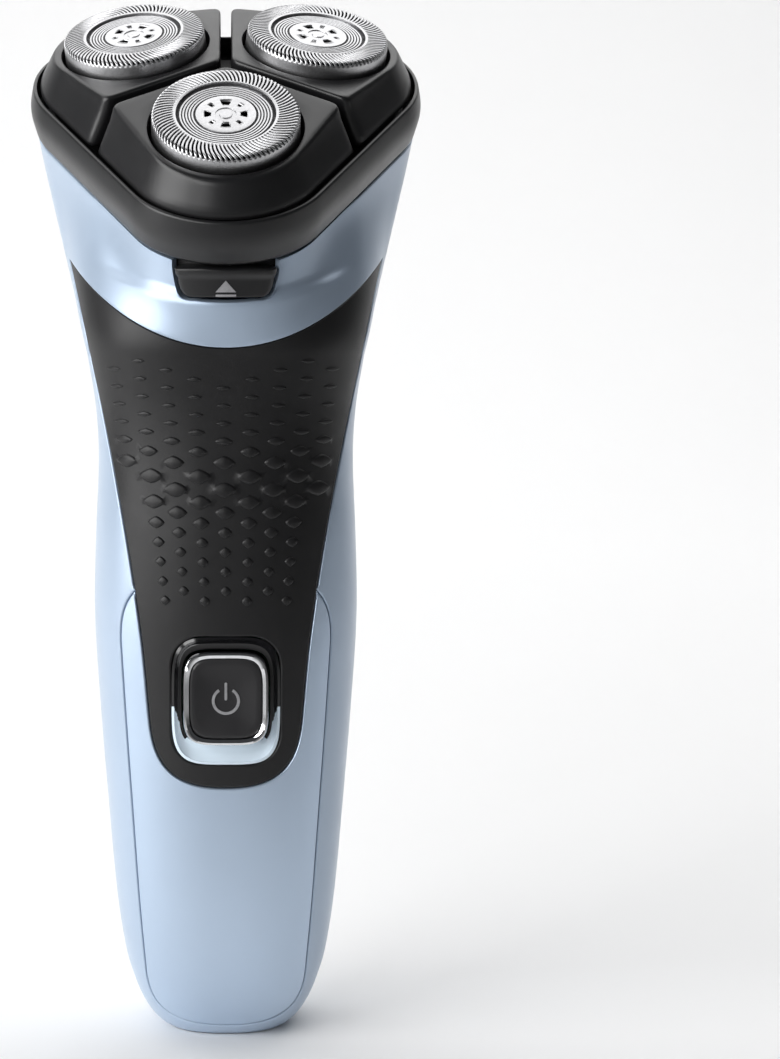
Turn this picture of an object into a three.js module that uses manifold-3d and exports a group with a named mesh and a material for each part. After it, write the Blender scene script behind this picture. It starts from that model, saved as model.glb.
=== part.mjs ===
// Rotary electric shaver: millimetres, +Z up, the power button faces -Y.
import * as THREE from 'three';
import { mergeVertices } from 'three/addons/utils/BufferGeometryUtils.js';
import Module from 'manifold-3d';

const wasm = await Module();
wasm.setup();

// ---------------------------------------------------------------- driving dimensions

const FIT = 0.3; // gap between two pieces that meet
const DEG = Math.PI / 180;

// Handle: height, half-width, depth in front of the centre line, depth behind it.
const HANDLE = [
  [0, 8.9, 7.6, 7.6],
  [1, 10.5, 9.1, 9.1],
  [2.6, 12.0, 10.4, 10.6],
  [5.4, 13.6, 11.7, 12.1],
  [8.5, 14.75, 12.6, 13.1],
  [12, 15.75, 13.4, 14.1],
  [21, 17.1, 14.6, 15.5],
  [36, 18.4, 15.8, 16.8],
  [52, 19.6, 16.7, 17.8],
  [66, 20.35, 17.3, 18.4],
  [78, 20.1, 17.4, 18.2],
  [90, 19.6, 17.2, 17.6],
  [98, 20.0, 17.8, 17.6],
  [106, 21.25, 19.3, 18.2],
];
const SQUARENESS = 2.5; // exponent of the handle's cross-section
const NECK_START = 106;
const WALL = 2.4;
const SKIN = 1.3; // thickness of the grip and of the front panel
const SKIN_POCKET = SKIN + FIT;
const PARTING_TILT = 4 * DEG; // the seam between the shells leans back with the neck
const PARTING_Y = 2;

// Shaving head: a tilted frame whose origin is the centre of the three guard tops.
const HEAD_TILT = 33 * DEG;
const HEAD_ORIGIN = new THREE.Vector3(0, -6, 150);
const HEAD_RADIUS = 16.2; // guard centres from the head's axis
const CELL_LEAN = 7 * DEG; // each guard leans outwards
const SIDES = [
  { name: 'front', azimuth: -90 * DEG },
  { name: 'right', azimuth: 30 * DEG },
  { name: 'left', azimuth: 150 * DEG },
];
const RIM_LEVEL = -16.6;
const RIM_ROUND = 15.3; // corner radius of the rounded triangle at the handle's rim
const PETAL_BASE = -9.2;
const PETAL_TOP = -2.4;
const GROOVE_HALF = 0.8;
const GUARD_RADIUS = 10.7;
const WELL_RADIUS = 11.3;
const HINGE_Y = 22.6;
const HINGE_LEVEL = -14.2;
const HINGE_LUGS = [-12, 12];

// Transmission
const MODULE = 0.75;
const PINION_TEETH = 15;
const GEAR_TEETH = 25;
const GEAR_DISTANCE = (MODULE * (PINION_TEETH + GEAR_TEETH)) / 2;
const GEAR_LEVEL = -22.4;
const GEAR_THICK = 1.8;
const SPINDLE_RADIUS = 1.5;
const SPINDLE_TOP = -8.9;
const MOTOR_RADIUS = 8;
const MOTOR_TOP = -24.9;
const MOTOR_LENGTH = 11;

// Controls
const BUTTON_Z = 55.1;
const BUTTON_HALF = [6.4, 7.05];
const BUTTON_FACE_HALF = [5.4, 6.05];
const WELL_Z = 54.7;
const WELL_HALF = [8.2, 9.85];
const KEY_BOTTOM = 114.6;
const KEY_TOP = 119;
const KEY_HALF = 7.5;
const KEY_BACK = -18.8;
const KEY_TRAVEL = 0.8;
const KEY_SPRING = { turns: 2, radius: 1.1, wire: 0.2, length: 1 }; // at its pressed length

const GRIP_TIP = [24.1, 120.4];

// Rear
const REAR_GRIP = { bottom: 19, top: 73, half: 12 };
const TRIMMER = { bottom: 87, top: 111, half: 13, depth: 5.6 };
const SLIDER = { bottom: 76.5, top: 83, half: 5, travel: 2 };
const PORT = { z: 11, half: [4.2, 2.9], floor: 4.6 };

// ---------------------------------------------------------------- materials

function material(color, roughness, metalness = 0) {
  return new THREE.MeshStandardMaterial({ color, roughness, metalness });
}

const LOOK = {
  blue: () => material(0xacbed6, 0.38),
  gloss: () => material(0xb4c6dc, 0.22),
  soft: () => material(0x1d1d1f, 0.62),
  black: () => material(0x2b2b2d, 0.42),
  charcoal: () => material(0x3a393c, 0.4),
  steel: () => material(0xc9cacd, 0.25, 1),
  chrome: () => material(0xe2e4e8, 0.1, 1),
  pearl: () => material(0xd7e6f2, 0.2),
  grey: () => material(0x8a8c90, 0.5),
  nylon: () => material(0xe8e6dc, 0.5),
  green: () => material(0x1f6b45, 0.5),
  copper: () => material(0xb87333, 0.35, 1),
  rubber: () => material(0x222224, 0.8),
  cell: () => material(0x3c7a9e, 0.45),
};

// ---------------------------------------------------------------- solids

function solid(geometry) {
  const bare = geometry.index ? geometry.clone() : mergeVertices(geometry);
  bare.deleteAttribute('normal');
  bare.deleteAttribute('uv');
  const merged = mergeVertices(bare, 1e-5);
  const mesh = new wasm.Mesh({
    numProp: 3,
    vertProperties: new Float32Array(merged.attributes.position.array),
    triVerts: new Uint32Array(merged.index.array),
  });
  return new wasm.Manifold(mesh);
}

function geometryOf(manifold) {
  const mesh = manifold.getMesh();
  const geometry = new THREE.BufferGeometry();
  geometry.setAttribute('position', new THREE.BufferAttribute(mesh.vertProperties, 3));
  geometry.setIndex(new THREE.BufferAttribute(mesh.triVerts, 1));
  geometry.computeVertexNormals();
  return geometry;
}

function subtract(geometry, ...tools) {
  return geometryOf(tools.reduce((body, tool) => body.subtract(solid(tool)), solid(geometry)));
}

function join(geometry, ...others) {
  return geometryOf(others.reduce((body, other) => body.add(solid(other)), solid(geometry)));
}

function intersect(geometry, ...others) {
  return geometryOf(others.reduce((body, other) => body.intersect(solid(other)), solid(geometry)));
}

function box(x0, x1, y0, y1, z0, z1) {
  const geometry = new THREE.BoxGeometry(x1 - x0, y1 - y0, z1 - z0);
  return geometry.translate((x0 + x1) / 2, (y0 + y1) / 2, (z0 + z1) / 2);
}

function cylinderZ(radius, z0, z1, segments = 16, x = 0, y = 0) {
  const geometry = new THREE.CylinderGeometry(radius, radius, z1 - z0, segments);
  return geometry.rotateX(Math.PI / 2).translate(x, y, (z0 + z1) / 2);
}

function cylinderY(radius, y0, y1, x, z, segments = 12) {
  const geometry = new THREE.CylinderGeometry(radius, radius, y1 - y0, segments);
  return geometry.translate(x, (y0 + y1) / 2, z);
}

function cylinderX(radius, x0, x1, y, z, segments = 12) {
  const geometry = new THREE.CylinderGeometry(radius, radius, x1 - x0, segments);
  return geometry.rotateZ(Math.PI / 2).translate((x0 + x1) / 2, y, z);
}

function ringZ(outer, inner, z0, z1, segments = 24) {
  const profile = [
    new THREE.Vector2(inner, z0),
    new THREE.Vector2(outer, z0),
    new THREE.Vector2(outer, z1),
    new THREE.Vector2(inner, z1),
    new THREE.Vector2(inner, z0),
  ];
  return new THREE.LatheGeometry(profile, segments).rotateX(Math.PI / 2);
}

function extrudeZ(shape, z0, z1, curveSegments = 4) {
  const geometry = new THREE.ExtrudeGeometry(shape, { depth: z1 - z0, bevelEnabled: false, curveSegments });
  return geometry.translate(0, 0, z0);
}

// A shape drawn in X and Z, extruded from y0 to y1.
function extrudeY(shape, y0, y1, curveSegments = 4) {
  const geometry = new THREE.ExtrudeGeometry(shape, { depth: y1 - y0, bevelEnabled: false, curveSegments });
  return geometry.rotateX(Math.PI / 2).translate(0, y1, 0);
}

function roundedRectangle(halfX, halfY, radius, centreY = 0) {
  const shape = new THREE.Shape();
  const low = centreY - halfY;
  const high = centreY + halfY;
  shape.moveTo(-halfX + radius, low);
  shape.lineTo(halfX - radius, low);
  shape.absarc(halfX - radius, low + radius, radius, -Math.PI / 2, 0);
  shape.lineTo(halfX, high - radius);
  shape.absarc(halfX - radius, high - radius, radius, 0, Math.PI / 2);
  shape.lineTo(-halfX + radius, high);
  shape.absarc(-halfX + radius, high - radius, radius, Math.PI / 2, Math.PI);
  shape.lineTo(-halfX, low + radius);
  shape.absarc(-halfX + radius, low + radius, radius, Math.PI, 1.5 * Math.PI);
  return shape;
}

// A closed solid over a grid: pointAt(angle, row, isRim) places each vertex of a capped cylinder.
function sweptSolid(columns, rows, pointAt) {
  const geometry = new THREE.CylinderGeometry(1, 1, 1, columns, rows);
  const position = geometry.attributes.position;
  for (let i = 0; i < position.count; i += 1) {
    const angle = Math.atan2(-position.getZ(i), position.getX(i));
    const isRim = Math.hypot(position.getX(i), position.getZ(i)) > 0.5;
    const row = Math.round((position.getY(i) + 0.5) * rows);
    const point = pointAt(angle, row, isRim);
    position.setXYZ(i, point.x, point.y, point.z);
  }
  return geometry;
}

// ---------------------------------------------------------------- the handle's surface

function hermite(p0, m0, p1, m1, t) {
  const t2 = t * t;
  const t3 = t2 * t;
  return (2 * t3 - 3 * t2 + 1) * p0 + (t3 - 2 * t2 + t) * m0 + (3 * t2 - 2 * t3) * p1 + (t3 - t2) * m1;
}

// Smooth value of one column of HANDLE at a height.
function handleValue(z, column) {
  const last = HANDLE.length - 1;
  const found = HANDLE.findIndex((row) => row[0] >= z);
  const i = Math.max(1, found < 0 ? last : found);
  const slope = (k) => {
    const low = HANDLE[Math.max(0, k - 1)];
    const high = HANDLE[Math.min(last, k + 1)];
    return (high[column] - low[column]) / (high[0] - low[0]);
  };
  const start = HANDLE[i - 1];
  const end = HANDLE[i];
  const span = end[0] - start[0];
  const t = (z - start[0]) / span;
  return hermite(start[column], slope(i - 1) * span, end[column], slope(i) * span, t);
}

function handlePoint(angle, z, inset) {
  const halfX = handleValue(z, 1) - inset;
  const halfY = handleValue(z, Math.sin(angle) < 0 ? 2 : 3) - inset;
  const x = Math.abs(Math.cos(angle) / halfX) ** SQUARENESS;
  const y = Math.abs(Math.sin(angle) / halfY) ** SQUARENESS;
  const radius = (x + y) ** (-1 / SQUARENESS);
  return new THREE.Vector3(radius * Math.cos(angle), radius * Math.sin(angle), z);
}

// Distance from the head's axis to the rounded triangle round the three heads.
function triangleRadius(angle, round) {
  const turn = (2 * Math.PI) / 3;
  const offset = angle - SIDES[1].azimuth;
  const delta = Math.abs(offset - turn * Math.round(offset / turn));
  const tangent = Math.atan2(round * Math.sin(Math.PI / 3), HEAD_RADIUS + round * 0.5);
  if (delta > tangent) {
    return (HEAD_RADIUS / 2 + round) / Math.cos(Math.PI / 3 - delta);
  }
  return HEAD_RADIUS * Math.cos(delta) + Math.sqrt(round ** 2 - (HEAD_RADIUS * Math.sin(delta)) ** 2);
}

function headToWorld(point) {
  return point.applyAxisAngle(new THREE.Vector3(1, 0, 0), HEAD_TILT).add(HEAD_ORIGIN);
}

function headPoint(angle, round, level) {
  const radius = triangleRadius(angle, round);
  return new THREE.Vector3(radius * Math.cos(angle), radius * Math.sin(angle), level);
}

// The neck runs from the handle's last section to the tilted rim.
function neckPoint(angle, t, inset) {
  const front = Math.max(0, -Math.sin(angle));
  const back = Math.max(0, Math.sin(angle));
  const start = handlePoint(angle, NECK_START, inset);
  const end = headToWorld(headPoint(angle, RIM_ROUND - inset, RIM_LEVEL));
  const reach = start.distanceTo(end);
  const flareLow = 0.27 + 0.01 * front - 0.07 * back;
  const flareHigh = 0.16 - 0.44 * front - 0.19 * back;
  const leave = new THREE.Vector3(flareLow * Math.cos(angle), flareLow * Math.sin(angle), 1);
  const arrive = new THREE.Vector3(flareHigh * Math.cos(angle), flareHigh * Math.sin(angle), 1);
  arrive.applyAxisAngle(new THREE.Vector3(1, 0, 0), HEAD_TILT);
  const blend = (axis) => hermite(start[axis], leave[axis] * reach, end[axis], arrive[axis] * reach, t);
  return new THREE.Vector3(blend('x'), blend('y'), blend('z'));
}

const FINE = { rows: [0, 1, 2.6, 5.4, 11, 22, 44, 66, 88, 98], neck: 4, columns: 32 };
const COARSE = { rows: [0, 3, 9, 34, 72, 96], neck: 3, columns: 28 };

// The handle as one solid, shrunk by inset, from a floor height to the rim raised by rise.
function loft(inset, floor = 0, rise = 0, grid = FINE) {
  const { rows, neck, columns } = grid;
  const total = rows.length + neck;
  return sweptSolid(columns, total, (angle, row, isRim) => {
    if (row < rows.length) {
      const z = floor + (rows[row] * (NECK_START - floor)) / NECK_START;
      return isRim ? handlePoint(angle, z, inset) : new THREE.Vector3(0, 0, z);
    }
    const lift = row === total ? rise : 0;
    if (!isRim) {
      return headToWorld(new THREE.Vector3(0, 0, RIM_LEVEL + lift));
    }
    const raise = headToWorld(new THREE.Vector3(0, 0, lift)).sub(HEAD_ORIGIN);
    return neckPoint(angle, (row - rows.length) / neck, inset).add(raise);
  });
}

const OUTER = loft(0);
const INNER = loft(WALL, WALL, 2, COARSE);
const POCKET_FLOOR = loft(SKIN_POCKET, 1.2);
const THICKENED = loft(SKIN_POCKET + 1.5, SKIN_POCKET + 1.5, 2, COARSE);
const CAVITY = intersect(INNER, join(THICKENED, box(-40, 40, -1, 40, -5, 200), box(-40, 40, -40, 40, 108, 200)));

// The half of space in front of the seam, kept clear of it by a gap.
function seamSide(front) {
  const depth = 60;
  const near = FIT / 2;
  const block = front ? box(-60, 60, -depth, -near, -20, 200) : box(-60, 60, near, depth, -20, 200);
  return block.rotateX(-PARTING_TILT).translate(0, PARTING_Y, 0);
}

// ---------------------------------------------------------------- outlines drawn on the front

function gripOutline(grow) {
  const shape = new THREE.Shape();
  const [tipX, tipZ] = GRIP_TIP;
  const side = [
    [19.9, 103.2],
    [16.9, 89.2],
    [14.5, 76.4],
    [12.6, 63.5],
    [11.5, 51.6],
  ];
  shape.moveTo(-tipX - grow, tipZ + grow);
  shape.bezierCurveTo(-9.6, 103 + grow, 9.6, 103 + grow, tipX + grow, tipZ + grow);
  shape.splineThru(side.map(([x, z]) => new THREE.Vector2(x + grow, z)));
  shape.bezierCurveTo(10.9 + grow, 44.1, 7.8 + grow, 41.3 - grow, 0, 41.3 - grow);
  shape.bezierCurveTo(-7.8 - grow, 41.3 - grow, -10.9 - grow, 44.1, -11.5 - grow, 51.6);
  const back = side.slice(0, -1).reverse();
  shape.splineThru([...back, GRIP_TIP].map(([x, z]) => new THREE.Vector2(-x - grow, z)));
  return shape;
}

function panelOutline(grow) {
  const shape = new THREE.Shape();
  shape.moveTo(0, 2.4 - grow);
  shape.bezierCurveTo(8 + grow, 2.4 - grow, 11.6 + grow, 4.4 - grow, 12.3 + grow, 10.3);
  shape.splineThru([new THREE.Vector2(14.2 + grow, 37.5), new THREE.Vector2(15.7 + grow, 62)]);
  shape.bezierCurveTo(16 + grow, 67, 14.9 + grow, 69, 12.9 + grow, 71.2 + grow);
  shape.lineTo(-12.9 - grow, 71.2 + grow);
  shape.bezierCurveTo(-14.9 - grow, 69, -16 - grow, 67, -15.7 - grow, 62);
  shape.splineThru([new THREE.Vector2(-14.2 - grow, 37.5), new THREE.Vector2(-12.3 - grow, 10.3)]);
  shape.bezierCurveTo(-11.6 - grow, 4.4 - grow, -8 - grow, 2.4 - grow, 0, 2.4 - grow);
  return shape;
}

// The key narrows downwards and has round lower corners.
function keyOutline(grow, top) {
  const shape = new THREE.Shape();
  const low = KEY_BOTTOM - grow;
  const corner = 2.6;
  const halfAt = (z) => KEY_HALF + grow - 0.15 * (KEY_TOP - z);
  shape.moveTo(-halfAt(top), top);
  shape.lineTo(-halfAt(low + corner), low + corner);
  shape.quadraticCurveTo(-halfAt(low), low, -halfAt(low) + corner, low);
  shape.lineTo(halfAt(low) - corner, low);
  shape.quadraticCurveTo(halfAt(low), low, halfAt(low + corner), low + corner);
  shape.lineTo(halfAt(top), top);
  return shape;
}

// Outlines are cut from the front half only.
const OUTLINE_STEPS = 2; // straight steps in each curve of a drawn outline
const FRONT_DEPTH = -40;
const FRONT_STOP = -0.5;
const frontPrism = (shape) => extrudeY(shape, FRONT_DEPTH, FRONT_STOP, OUTLINE_STEPS);
const rearPrism = (shape) => extrudeY(shape, 1, 40, 4);

// A skin of the handle's surface inside an outline.
function skin(prism) {
  return intersect(subtract(OUTER, loft(SKIN, 1)), prism);
}

// ---------------------------------------------------------------- assembly helpers

const shaver = new THREE.Group();
const head = new THREE.Group();
head.position.copy(HEAD_ORIGIN);
head.rotation.x = HEAD_TILT;
shaver.add(head);

function add(parent, name, geometry, look) {
  const mesh = new THREE.Mesh(geometry, LOOK[look]());
  mesh.name = name;
  parent.add(mesh);
  return mesh;
}

// ---------------------------------------------------------------- housing

const wellHole = extrudeY(roundedRectangle(WELL_HALF[0], WELL_HALF[1], 4.6, WELL_Z), -30, -6, 4);
const trimmerHole = extrudeY(
  roundedRectangle(TRIMMER.half + 0.4, (TRIMMER.top - TRIMMER.bottom) / 2 + 0.4, 3, (TRIMMER.top + TRIMMER.bottom) / 2),
  8,
  40,
);
const sliderMiddle = (SLIDER.top + SLIDER.bottom) / 2;
const sliderLength = (SLIDER.top - SLIDER.bottom) / 2;
const sliderHole = extrudeY(
  roundedRectangle(SLIDER.half - 1.2, sliderLength + SLIDER.travel - 1, 1.4, sliderMiddle),
  8,
  40,
);
const portHole = extrudeY(roundedRectangle(PORT.half[0] + 1.3, PORT.half[1] + 1.3, 2.6, PORT.z), 3, 40);
const rearOutline = (grow) => {
  const half = (REAR_GRIP.top - REAR_GRIP.bottom) / 2 + grow;
  return roundedRectangle(REAR_GRIP.half + grow, half, 9, (REAR_GRIP.top + REAR_GRIP.bottom) / 2);
};
const SCREW = { seat: 8.8, head: 1.6, headRadius: 2, shank: 1.1, boss: 2.7 };
const screwPlaces = [-10.2, 10.2].flatMap((x) => [28, 66].map((z) => [x, z]));

function addHousing() {
  const pocketBlank = subtract(loft(-2), POCKET_FLOOR);
  const frontPocket = intersect(pocketBlank, join(frontPrism(gripOutline(FIT)), frontPrism(panelOutline(FIT))));
  const keyHole = extrudeY(keyOutline(FIT, KEY_TOP + 6), -40, -14);
  const shell = subtract(OUTER, CAVITY);
  const front = subtract(intersect(shell, seamSide(true)), frontPocket, wellHole, keyHole);
  const rearPocket = intersect(pocketBlank, rearPrism(rearOutline(FIT)));
  const bosses = screwPlaces.map(([x, z]) => intersect(cylinderY(SCREW.boss, 7.3, 30, x, z), POCKET_FLOOR));
  const screwHoles = screwPlaces.flatMap(([x, z]) => [
    cylinderY(SCREW.shank + FIT, 2, 30, x, z),
    cylinderY(SCREW.headRadius + FIT, SCREW.seat - FIT, 30, x, z),
  ]);
  const bossed = join(intersect(shell, seamSide(false)), ...bosses);
  const rear = subtract(bossed, rearPocket, trimmerHole, sliderHole, portHole, ...screwHoles);
  add(shaver, 'front_shell', front, 'blue');
  add(shaver, 'rear_shell', rear, 'blue');

  const grip = subtract(skin(frontPrism(gripOutline(0))), wellHole);
  add(shaver, 'grip', grip, 'soft');
  const panel = subtract(skin(frontPrism(panelOutline(0))), frontPrism(gripOutline(FIT)), wellHole);
  add(shaver, 'front_panel', panel, 'gloss');
  add(shaver, 'rear_grip', skin(rearPrism(rearOutline(0))), 'soft');
  screwPlaces.forEach(([x, z], i) => {
    const shank = cylinderY(SCREW.shank, -1, SCREW.seat + 0.5, x, z, 12);
    const cap = cylinderY(SCREW.headRadius, SCREW.seat, SCREW.seat + SCREW.head, x, z);
    add(shaver, `case_screw_${i + 1}`, join(shank, cap), 'steel');
  });
}

// ---------------------------------------------------------------- power button

function addPowerButton() {
  const frameHalf = [WELL_HALF[0] - FIT, WELL_HALF[1] - FIT];
  const frameSolid = extrudeY(roundedRectangle(frameHalf[0], frameHalf[1], 4.3, WELL_Z), -15.4, -12);
  const opening = roundedRectangle(BUTTON_HALF[0] + FIT, BUTTON_HALF[1] + FIT, 3.4, BUTTON_Z);
  add(shaver, 'button_frame', subtract(frameSolid, extrudeY(opening, -20, -10)), 'pearl');

  const ringShape = roundedRectangle(BUTTON_HALF[0], BUTTON_HALF[1], 3.1, BUTTON_Z);
  const ringHole = roundedRectangle(BUTTON_FACE_HALF[0] + FIT, BUTTON_FACE_HALF[1] + FIT, 2.4, BUTTON_Z);
  const ring = subtract(extrudeY(ringShape, -17.4, -15.2), extrudeY(ringHole, -20, -10));
  add(shaver, 'power_button_ring', ring, 'chrome');

  const face = extrudeY(roundedRectangle(BUTTON_FACE_HALF[0], BUTTON_FACE_HALF[1], 2.2, BUTTON_Z), -17.2, -14.6);
  const flange = extrudeY(roundedRectangle(BUTTON_HALF[0], BUTTON_HALF[1], 3.1, BUTTON_Z), -14.9, -13.9);
  const stem = cylinderY(1.6, -14, -12.3, 0, BUTTON_Z);
  add(shaver, 'power_button', join(face, flange, stem), 'charcoal');
}

// ---------------------------------------------------------------- release key

function addReleaseKey() {
  const blank = extrudeY(keyOutline(0, KEY_TOP), -40, KEY_BACK, 5);
  const surface = intersect(blank, loft(-0.2));
  add(shaver, 'release_key', surface, 'black');
  const { turns, radius, wire, length } = KEY_SPRING;
  const coil = [];
  for (let i = 0; i <= turns * 8; i += 1) {
    const angle = (i / 8) * 2 * Math.PI;
    const y = KEY_BACK + KEY_TRAVEL + 0.1 + wire + (i * length) / (turns * 8);
    coil.push(new THREE.Vector3(radius * Math.cos(angle), y, 115.9 + radius * Math.sin(angle)));
  }
  const section = new THREE.Shape().absarc(0, 0, wire, 0, 2 * Math.PI);
  const path = new THREE.CatmullRomCurve3(coil);
  const options = { steps: turns * 8, extrudePath: path, bevelEnabled: false, curveSegments: 2 };
  add(shaver, 'release_spring', new THREE.ExtrudeGeometry(section, options), 'steel');
}

// ---------------------------------------------------------------- inside the handle

const BATTERY = { radius: 7.1, bottom: 23, top: 73, y: 5 };

function addElectronics() {
  const { radius, bottom, top, y } = BATTERY;
  add(shaver, 'battery_cell', cylinderZ(radius, bottom, top, 28, 0, y), 'cell');
  add(shaver, 'battery_tab_lower', box(-3, 3, y - 8.2, y + 3, bottom - 0.9, bottom - FIT), 'copper');
  add(shaver, 'battery_tab_upper', box(-3, 3, y - 8.2, y + 3, top + FIT, top + 0.9), 'copper');

  const channel = new THREE.Shape();
  channel.moveTo(-11.8, -6.1);
  channel.lineTo(11.8, -6.1);
  channel.lineTo(11.8, 7);
  channel.lineTo(8.2, 7);
  channel.lineTo(8.2, -4.6);
  channel.lineTo(-8.2, -4.6);
  channel.lineTo(-8.2, 7);
  channel.lineTo(-11.8, 7);
  const rails = extrudeZ(channel, 23, 76);
  const pilots = screwPlaces.map(([x, z]) => cylinderY(1.3, -3, 9, x, z));
  add(shaver, 'chassis', subtract(rails, ...pilots), 'nylon');

  add(shaver, 'circuit_board', box(-9, 9, -8.2, -6.8, 23, 84), 'green');
  add(shaver, 'power_switch', box(-3, 3, -11.2, -8.5, BUTTON_Z - 3, BUTTON_Z + 3), 'grey');
  add(shaver, 'indicator_light', box(-1.6, 1.6, -9.6, -8.5, 44, 46), 'pearl');
}

function addChargingPort() {
  const { z, half, floor } = PORT;
  const mouth = handleValue(z, 3) - 0.35;
  const body = extrudeY(roundedRectangle(half[0] + 1, half[1] + 1, 2.4, z), floor - 1.6, mouth);
  const hollow = extrudeY(roundedRectangle(half[0], half[1], 1.8, z), floor, 30);
  const pinHoles = [-2, 2].map((x) => cylinderY(0.9, 0, 10, x, z));
  add(shaver, 'charging_socket', subtract(body, hollow, ...pinHoles), 'black');
  [-2, 2].forEach((x, i) => {
    add(shaver, `charging_pin_${i + 1}`, cylinderY(0.6, floor - 3.4, floor + 3, x, z, 12), 'copper');
  });
}

// ---------------------------------------------------------------- trimmer on the back

const TRIMMER_HINGE = { y: 15.6, z: TRIMMER.bottom + 2.7, eye: 1.3, pin: 0.6 };

function addTrimmer() {
  const { bottom, top, half, depth } = TRIMMER;
  const { y, z, eye, pin } = TRIMMER_HINGE;
  const middle = (bottom + top) / 2;
  const tall = (top - bottom) / 2;
  const floorY = handleValue(middle, 3) - depth - 1.4;
  const trayBlank = extrudeY(roundedRectangle(half + 0.1, tall + 0.1, 2.8, middle), floorY - 1.2, 14.6, 3);
  const trayHollow = extrudeY(roundedRectangle(half - 0.9, tall - 0.9, 2, middle), floorY, 40, 3);
  const ears = [-6, 6].flatMap((x) => [
    box(x - 1, x + 1, floorY - 0.6, y, z - eye, z + eye),
    cylinderX(eye, x - 1, x + 1, y, z),
  ]);
  const bore = cylinderX(pin + FIT, -20, 20, y, z, 12);
  add(shaver, 'trimmer_tray', subtract(join(subtract(trayBlank, trayHollow), ...ears), bore), 'black');
  add(shaver, 'trimmer_pin', cylinderX(pin, -7.4, 7.4, y, z, 12), 'steel');

  const lidShape = roundedRectangle(half - 1.3, tall - 1.3, 1.8, middle);
  const lid = intersect(subtract(OUTER, loft(1.8, 1)), extrudeY(lidShape, 8, 40, 3));
  const knuckle = cylinderX(eye, -4.6, 4.6, y, z);
  const carrier = box(-9, 9, 14.7, 16.6, top - 9.5, top - 6);
  const earNotches = [-6, 6].map((x) => box(x - 1.3, x + 1.3, 8, 40, bottom, z + eye + FIT));
  add(shaver, 'trimmer_arm', subtract(join(lid, knuckle, carrier), bore, ...earNotches), 'black');

  add(shaver, 'trimmer_comb', toothedBlade(10.6, top - 8, top - 1.7, 13.6, 14.4, 15), 'steel');
  add(shaver, 'trimmer_blade', toothedBlade(9.6, top - 7.4, top - 2.3, 12.6, 13.3, 13), 'steel');
}

// A flat blade with square teeth along its top edge.
function toothedBlade(half, bottom, top, y0, y1, teeth) {
  const shape = new THREE.Shape();
  const pitch = (2 * half) / teeth;
  const root = top - 1.6;
  shape.moveTo(-half, bottom);
  shape.lineTo(half, bottom);
  for (let i = teeth - 1; i >= 0; i -= 1) {
    const left = -half + i * pitch;
    shape.lineTo(left + pitch * 0.8, root);
    shape.lineTo(left + pitch * 0.66, top);
    shape.lineTo(left + pitch * 0.34, top);
    shape.lineTo(left + pitch * 0.2, root);
  }
  shape.lineTo(-half, root);
  return extrudeY(shape, y0, y1);
}

function addTrimmerSlider() {
  const outline = roundedRectangle(SLIDER.half, sliderLength, 2, sliderMiddle);
  const cap = intersect(subtract(loft(-1.1), loft(-FIT)), extrudeY(outline, 8, 40));
  const stem = extrudeY(roundedRectangle(SLIDER.half - 1.6, sliderLength - 1.3, 1, sliderMiddle), 14, 18.2);
  add(shaver, 'trimmer_slider', join(cap, stem), 'black');
}

// ---------------------------------------------------------------- transmission

// A spur gear with plain tapered teeth, turned so that one tooth points along phase.
function spurGear(teeth, z0, z1, bore, phase) {
  const pitchRadius = (MODULE * teeth) / 2;
  const tip = pitchRadius + MODULE * 0.8;
  const root = pitchRadius - MODULE * 1.15;
  const step = (2 * Math.PI) / teeth;
  const shape = new THREE.Shape();
  for (let i = 0; i < teeth; i += 1) {
    const centre = phase + i * step;
    const corners = [
      [root, -0.29],
      [tip, -0.11],
      [tip, 0.11],
      [root, 0.29],
    ];
    corners.forEach(([radius, share], k) => {
      const angle = centre + share * step;
      const place = [radius * Math.cos(angle), radius * Math.sin(angle)];
      if (i === 0 && k === 0) {
        shape.moveTo(...place);
      } else {
        shape.lineTo(...place);
      }
    });
  }
  shape.holes.push(new THREE.Path().absarc(0, 0, bore, 0, 2 * Math.PI, true));
  return extrudeZ(shape, z0, z1, 12);
}

// The angle of a driven gear's tooth that puts a gap on the pinion's nearest tooth.
function meshPhase(azimuth) {
  const pinionStep = (2 * Math.PI) / PINION_TEETH;
  const nearest = pinionStep * Math.round(azimuth / pinionStep) - azimuth;
  return azimuth + Math.PI - (nearest * PINION_TEETH) / GEAR_TEETH + Math.PI / GEAR_TEETH;
}

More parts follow.
